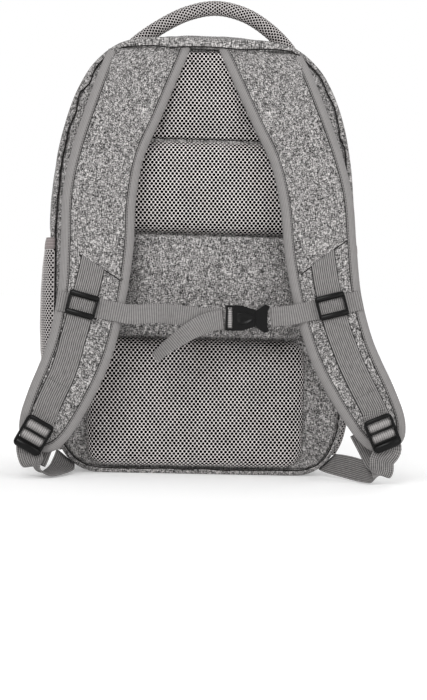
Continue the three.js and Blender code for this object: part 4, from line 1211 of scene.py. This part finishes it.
def build_strap(word):
    side = SIDES[word]
    top = strap_share(side, STRAP_TOP_Z)
    share = np.concatenate([np.linspace(top, 0.85, 110), np.linspace(0.85, 1, 34)[1:]])
    s = strap_stations(side, share)
    tuck = smoothstep(STRAP_TUCK["from_z"], STRAP_TOP_Z, s["centre"][:, 2])[:, None]
    s["centre"] = s["centre"] + tuck * np.array([0, STRAP_TUCK["back"], 0])
    level = smoothstep(STRAP_LEVEL["from_z"], STRAP_LEVEL["to_z"], s["centre"][:, 2])[:, None]
    lean = (s["across"][:, 2:] + STRAP_TOP_SLOPE) / s["along"][:, 2:]
    s["across"] = s["across"] - level * s["along"] * lean
    sections = []
    for k in range(len(share)):
        near_tip = smoothstep(STRAP_TIP["from"], 1, share[k])
        half = s["width"][k] / 2 - STRAP_TIP["narrow"] * near_tip
        full = s["thick"][k] / 2 * (1 - STRAP_TIP["thin"] * near_tip)
        a, n = strap_profile(half, full, eased(27))
        flat = np.concatenate([a, a[::-1]])
        high = np.concatenate([n, -n])
        sections.append(s["centre"][k] + s["across"][k] * flat[:, None] + s["normal"][k] * high[:, None])
    sections = np.array(sections)
    facing = np.sign((sections - s["centre"][:, None]) @ np.array([0, -1, 0]))
    soft = STRAP_SOFT["size"] * ripple(sections, STRAP_SOFT["wave"], 71 + side) * facing
    verts, faces, cloth = swept(sections + s["normal"][:, None] * soft[..., None])
    node = f"shoulder_strap_{word}"
    obj = make(f"{node}_cloth", verts, faces, [HEATHER], [node], cloth)
    build_binding(word, side, s)
    build_strap_webbing(word, side)
    build_lower_webbing(word, side)


def build_binding(word, side, s):
    half = s["width"][:, None] / 2
    outer = s["centre"] + s["across"] * half
    inner = s["centre"] - s["across"] * half
    path = np.vstack([outer, inner[::-1]])
    extra = np.vstack([np.column_stack([s["normal"], s["thick"], s["width"]])] * 2)
    extra[len(outer):] = extra[len(outer):][::-1]
    count = int(lengths(path)[-1] / BINDING["step"])
    both = resample(np.column_stack([path, extra]), count * 2)
    run = lengths(both[:, :3])
    at = np.linspace(0, run[-1], count)
    data = picked(at, run, both)
    for _ in range(2):
        data[1:-1] = (data[:-2] + 2 * data[1:-1] + data[2:]) / 4
    centre, normal, thick, width = data[:, :3], unit(data[:, 3:6]), data[:, 6], data[:, 7]
    outward = unit(np.cross(tangents(centre), normal)) * -side
    sections = []
    wall, reach = BINDING["wall"], BINDING["reach"]
    for k in range(count):
        full = thick[k] / 2 + GAP
        rim = min(STRAP_EDGE["half"], thick[k] * 0.3) + GAP
        inset = min(reach, width[k] * 0.32)
        shoulder = min(STRAP_EDGE["shoulder"], width[k] * 0.3)
        face = np.array([
            (-inset, full), (-shoulder, full), (-shoulder * 0.45, (full + rim) * 0.53),
            (GAP * 0.6, rim), (GAP, rim * 0.5),
        ])
        line = np.vstack([face, face[::-1] * (1, -1)])
        lift = np.vstack([BINDING_LIFT, BINDING_LIFT[::-1] * (1, -1)]) * wall
        loop = np.vstack([line + lift, line[::-1]])
        sections.append(centre[k] + outward[k] * loop[:, :1] + normal[k] * loop[:, 1:])
    verts, faces, _ = swept(sections)
    around = np.linspace(0, BINDING["round"], 10)
    across = np.concatenate([around, around[::-1]])
    node = f"strap_binding_{word}"
    make(f"{node}_tape", verts, faces, [TAPE], [node], strip_cloth(across, at))

    rows = Parts()
    inset = np.minimum(reach, width * 0.32) - BINDING["stitch_in"]
    line = centre - outward * inset[:, None] + normal * (thick / 2 + GAP + wall)[:, None]
    stitch_row(rows, line, normal)
    # A dark tube of painted shadow along the binding's folded edge
    fold = centre - outward * (inset + BINDING["fold_shade_in"])[:, None] + normal * (thick / 2 + GAP)[:, None]
    line_tube(rows, fold, normal, BINDING["fold"], 1)
    rows.make(f"{node}_stitches", [THREAD, SEAM_SHADE], "edge_tape")


def webbing_offset(word, z):
    return np.interp(z, STRAP_WEBBING_ROWS[:, 0], STRAP_WEBBING_ROWS[:, 1 if word == "left" else 2])


def strap_frame(word, z, out, turn=0.0):
    """Middle, and ways right, up and out, of something that lies on a strap."""
    side = SIDES[word]
    s = strap_stations(side, strap_share(side, z))
    right, up = s["across"][0] * side, -s["along"][0]
    c, d = math.cos(turn), math.sin(turn)
    return strap_face(s, out, 0)[0], right * c + up * d, up * c - right * d, s["normal"][0]


def laid(place, right, up, lift):
    """Points given in the directions of a strap_frame."""
    middle, x, y, n = place
    right, up, lift = (np.asarray(v, float)[..., None] for v in (right, up, lift))
    return middle + right * x + up * y + lift * n


def build_strap_webbing(word, side):
    seam_z, seam_rise = STRAP_SEAM[word]
    fine = np.linspace(strap_share(side, 262), strap_share(side, 60), 600)
    heights = strap_stations(side, fine)["centre"][:, 2]
    rows = np.linspace(0, 1, 90)
    faces_of = []
    for a in eased(RIBBON_POINTS) * WEBBING["wide"] / 2:
        start = seam_z + seam_rise * (a + webbing_offset(word, seam_z))
        z = start + (STRAP_WEBBING["low_z"] - start) * rows
        s = strap_stations(side, np.interp(-z, -heights, fine))
        near = np.maximum(0, 1 - ((z - SLIDER_Z[word]) / STRAP_WEBBING["over_slider"]) ** 2)
        over = np.minimum(1, near * STRAP_WEBBING["steep"])
        lift = 2 * GAP + WEBBING["thick"] / 2 + (WEBBING["thick"] + 2 * GAP) * over
        round_off = WEBBING["thick"] / 2 * math.sqrt(max(1 - abs(2 * a / WEBBING["wide"]) ** 10, 0.02))
        faces_of.append([strap_face(s, webbing_offset(word, z) + a, lift + f * round_off) for f in (1, -1)])
    upper = np.array([f[0] for f in faces_of]).transpose(1, 0, 2)
    lower = np.array([f[1] for f in faces_of]).transpose(1, 0, 2)
    verts, faces, _ = swept(np.concatenate([upper, lower[:, ::-1]], 1))
    make(f"strap_webbing_{word}_web", verts, faces, [WEB], [f"strap_webbing_{word}"],
         ribbon_cloth(upper.mean(1), WEBBING["wide"]))

    a = np.linspace(*SEAM_REACH[word], 40)
    s = strap_stations(side, np.interp(-seam_z - seam_rise * a, -heights, fine))
    path = strap_face(s, a, 0.5)
    rise = unit(np.cross(tangents(path), s["normal"]))
    rise = rise * np.sign(rise[:, 2:])
    welt = Parts()
    # The second tube is painted shadow under the seam's roll
    for kind, (up, off, tall, deep) in enumerate(SEAM_TUBES):
        centres = path + rise * up + s["normal"] * off
        welt.take(*swept(circles(centres, rise * tall, s["normal"] * deep, 1, 8)), kind)
    # Dark tubes of painted shadow along both edges of the webbing
    for edge in (-1, 1):
        out = edge * (WEBBING["wide"] / 2 + WEBBING_EDGE_SHADE["out"])
        z = np.linspace(seam_z + seam_rise * (out + webbing_offset(word, seam_z)), WEBBING_EDGE_SHADE["low_z"], 120)
        s = strap_stations(side, np.interp(-z, -heights, fine))
        path = strap_face(s, webbing_offset(word, z) + out, GAP)
        line_tube(welt, path, s["normal"], WEBBING_EDGE_SHADE["radius"], 1)
    welt.make(f"strap_seam_{word}_welt", [HEATHER, SEAM_SHADE], "heather_fabric")


def build_lower_webbing(word, side):
    """The webbing through a lock, down to the bag's corner, and its loose end."""
    place = LOCK_PLACE[word]
    lock = strap_frame(word, **place)
    high = DOUBLED_Z[word] - np.array(DOUBLED["steps"])
    s = strap_stations(side, [strap_share(side, z) for z in high])
    above = strap_face(s, webbing_offset(word, high), DOUBLED["lift"])
    in_bars = [laid(lock, 0, up, lift) for up, lift in OVER_BARS]
    ways = [*(s["across"] * side), *[lock[1]] * len(in_bars)]
    doubled = smooth_strip(list(zip([*above, *in_bars], ways)), 7)
    width = WEBBING["wide"] - DOUBLED["narrow"]
    strip(f"doubled_webbing_{word}_web", doubled, width, [WEB, LIT_WEB], (), DOUBLED["lit_row"])

    in_lock = []
    for up in IN_LOCK["steps"]:
        s = strap_stations(side, strap_share(side, place["z"] + up))
        in_lock.append((strap_face(s, place["out"], IN_LOCK["under"])[0], s["across"][0] * side))
    for node, rows in [("lower_webbing", [*in_lock, *LOWER_ROWS[word]]), ("webbing_tail", TAIL_ROWS[word])]:
        node = f"{node}_{word}"
        strip(f"{node}_web", smooth_strip(rows), WEBBING["wide"], [WEB], [node])


def hump(place, half, low, high, base, top):
    """A rounded bar across a strap_frame, between two heights up it."""
    turn = np.linspace(0, math.pi, 9)
    b = (low + high) / 2 - (high - low) / 2 * np.cos(turn)
    c = base + (top - base) * np.sin(turn) ** 0.7
    root = base - BAR_ROOT
    b, c = np.append(b, [high, low]), np.append(c, [root, root])
    ends = [(half, 0.55), (half - 0.5, 0.85), (half - 1.6, 1)]
    stops = [(-a, s) for a, s in ends] + ends[::-1]
    middle = (low + high) / 2
    b, c, across = b - middle, c - root, np.ones(len(b))
    return [laid(place, across * a, middle + b * s, root + c * s) for a, s in stops]


def build_bars(word):
    """The raised bars of a lock and a slider."""
    z = SLIDER_Z[word]
    lock = strap_frame(word, **LOCK_PLACE[word])
    slider = strap_frame(word, z, webbing_offset(word, z), SLIDER_TURN[word])
    for name, place, bars in [("ladder_lock", lock, LOCK_BARS), ("chest_slider", slider, SLIDER_BARS)]:
        parts = Parts()
        for bar in bars:
            parts.take(*swept(hump(place, *bar)))
        parts.make(f"{name}_{word}_bars", [PLASTIC], "black_plastic")


def build_tongue():
    """The raised press plate of the buckle, and the webbing that shows in its slot."""
    tilt = BUCKLE["tilt"]
    c, d = math.cos(tilt), math.sin(tilt)
    middle = (BUCKLE["x"], -BUCKLE["y"], BUCKLE["z"])
    place = [np.array(v, float) for v in (middle, (c, 0, d), (-d, 0, c), (0, -1, 0))]
    g = np.linspace(0, 2 * math.pi, 48, endpoint=False)
    sin, cos = np.sin(g), np.cos(g)
    right = PLATE["half_long"] * np.sign(cos) * np.abs(cos) ** np.where(cos > 0, 1.0, 0.45)
    up = PLATE["half_tall"] * np.sign(sin) * np.abs(sin) ** 0.8 * (1 - 0.25 * np.clip(cos, 0, 1))
    levels = []
    for s, c in PLATE_LEVELS:
        levels.append(laid(place, PLATE["x"] + right * s, up * s, np.full(48, BUCKLE["face"] + c)))
    Parts().take(*swept(levels)).make("chest_buckle_plate", [PLASTIC], "black_plastic")
    rows = [(laid(place, a, 0, c), place[2]) for a, c in LOOP_ROWS]
    # The webbing in the slot takes the paler copy: painted light
    strip("chest_loop_web", smooth_strip(rows), WEBBING["narrow"], [LIT_WEB], ())


def build_chest_strap():
    for word, side in SIDES.items():
        s = strap_stations(side, strap_share(side, SLIDER_Z[word]))
        rows = [(strap_face(s, out, lift)[0], -s["along"][0]) for out, lift in CHEST_ON_STRAP]
        node = f"chest_webbing_{word}"
        stations = smooth_strip([*rows, *CHEST_ROWS[word]])
        strip(f"{node}_web", stations, WEBBING["narrow"], [CHEST_WEB], [node])
    rows = [(p, (lean, math.sin(turn), math.cos(turn))) for p, lean, turn in CHEST_TAIL_ROWS]
    strip("chest_tail_web", smooth_strip(rows), WEBBING["narrow"], [CHEST_WEB], ["chest_tail"])


def finish_plastic():
    for name in PLASTIC_NODES:
        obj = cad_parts[name]
        obj.data.materials.clear()
        obj.data.materials.append(PLASTIC)
        bevel = obj.modifiers.new("rounded", "BEVEL")
        bevel.width = BEVEL["width"] * MM
        bevel.segments = BEVEL["segments"]
        bevel.limit_method = "ANGLE"


def build_zip():
    path = arch(zip_y, ZIP["low_z"], 320)
    along = tangents(path)
    across = unit(np.cross(along, grid_out(path)))
    normal = unit(np.cross(across, along))
    normal = normal * np.sign((normal * grid_out(path)).sum(-1, keepdims=True))
    parts = Parts()
    verts, faces, _ = swept(ribbon_sections(path + normal * 0.2, across, normal, ZIP["tape"], ZIP["thick"]))
    parts.take(verts, faces, ribbon_cloth(path, ZIP["tape"]), 0)
    run = lengths(path)
    at = spaced(run, int(run[-1] / ZIP["tooth"]))
    ends = np.array([-1, 0, 1])[:, None] * TOOTH["half"]
    ways = [unit(picked(at, run, field)) for field in (across, normal)]
    for c, w, n in zip(picked(at, run, path), *ways):
        centres = c + w * ends + n * TOOTH["lift"]
        parts.take(*swept(circles(centres, unit(np.cross(w, n)), n, TOOTH["radius"], 5)), 1)
    parts.make("main_zip_teeth", [ZIP_TAPE, COIL], "zip", ["main_zip"])


def grid_out(path):
    return unit(path * (1, 0, 1) - np.array([0, 0, 300.0]))


# Stage

def build_stage():
    mat, tree, shader = new_material("pale_floor", 0.9, 0.1)
    noise = add(tree, "TexNoise", {"Scale": 3.0}).outputs["Fac"]
    paint(tree, shader, noise, [(0.0, (0.8, 0.8, 0.8)), (1.0, (0.84, 0.84, 0.84))])
    place = add(tree, "TexCoord", {}).outputs["Object"]
    far = add(tree, "VectorMath", {0: place}, operation="LENGTH").outputs["Value"]
    glow = add(tree, "MapRange", {
        "Value": far, "From Min": FLOOR["near"], "From Max": FLOOR["far"],
        "To Min": FLOOR["near_glow"], "To Max": FLOOR["far_glow"],
    }).outputs["Result"]
    shader.inputs["Emission Color"].default_value = (1, 1, 1, 1)
    tree.links.new(glow, shader.inputs["Emission Strength"])
    mesh = bpy.data.meshes.new("floor")
    r = FLOOR["reach"]
    mesh.from_pydata([(-r, -r, 0), (r, -r, 0), (r, r, 0), (-r, r, 0)], [], [(0, 1, 2, 3)])
    mesh.materials.append(mat)
    floor = put("floor", mesh)

    world = bpy.data.worlds.new("studio")
    world.use_nodes = True
    sky = world.node_tree.nodes["Background"]
    sky.inputs["Color"].default_value = (1, 1, 1, 1)
    seen = add(world.node_tree, "LightPath", {}).outputs["Is Camera Ray"]
    more = SKY["seen"] - SKY["light"]
    lit = add(world.node_tree, "Math", {0: seen, 1: more, 2: SKY["light"]}, operation="MULTIPLY_ADD")
    world.node_tree.links.new(lit.outputs[0], sky.inputs["Strength"])
    bpy.context.scene.world = world
    for name, place, size, power in LIGHTS:
        data = bpy.data.lights.new(name, "AREA")
        data.shape = "RECTANGLE"
        data.size, data.size_y = size
        data.energy = power
        light = put(name, data)
        light.location = place
        light.rotation_euler = (Vector(LIGHT_AIM) - Vector(place)).to_track_quat("-Z", "Y").to_euler()
    bpy.context.scene.view_settings.view_transform = "Standard"


def build_camera():
    yaw, roll = math.radians(CAMERA["yaw"]), math.radians(CAMERA["roll"])
    right, up = Vector((math.cos(yaw), math.sin(yaw), 0)), Vector((0, 0, 1))
    ahead = Vector((-math.sin(yaw), math.cos(yaw), 0))
    eye = -ahead * CAMERA["distance"] + up * CAMERA["eye_z"]
    image_right = right * math.cos(roll) + up * math.sin(roll)
    image_up = up * math.cos(roll) - right * math.sin(roll)
    focal = CAMERA["distance"] / CAMERA["mm_per_pixel"]
    rise = CAMERA["eye_z"] / CAMERA["mm_per_pixel"]
    axis_pixel = (BASE_PIXEL[0] + rise * math.sin(roll), BASE_PIXEL[1] - rise * math.cos(roll))
    aim = ahead * focal + image_right * (IMAGE["width"] / 2 - axis_pixel[0])
    aim = (aim - image_up * (IMAGE["height"] / 2 - axis_pixel[1])).normalized()
    x = (image_right - aim * image_right.dot(aim)).normalized()
    y = (-aim).cross(x)
    data = bpy.data.cameras.new("camera")
    data.sensor_width = SENSOR
    data.lens = focal * SENSOR / IMAGE["height"]
    data.clip_end = 50
    camera = put("camera", data)
    place = (eye + Vector((0, BACK_PLANE_Y, 0))) * MM
    camera.matrix_world = Matrix.Translation(place) @ Matrix((x, y, -aim)).transposed().to_4x4()
    bpy.context.scene.camera = camera


build_camera()
build_stage()
build_gussets()
build_front()
build_base()
build_back_panel()
build_piping()
build_pads()
build_sleeve()
build_handle()
build_pockets()
for word in SIDES:
    build_strap(word)
    build_bars(word)
build_chest_strap()
build_tongue()
build_zip()
finish_plastic()
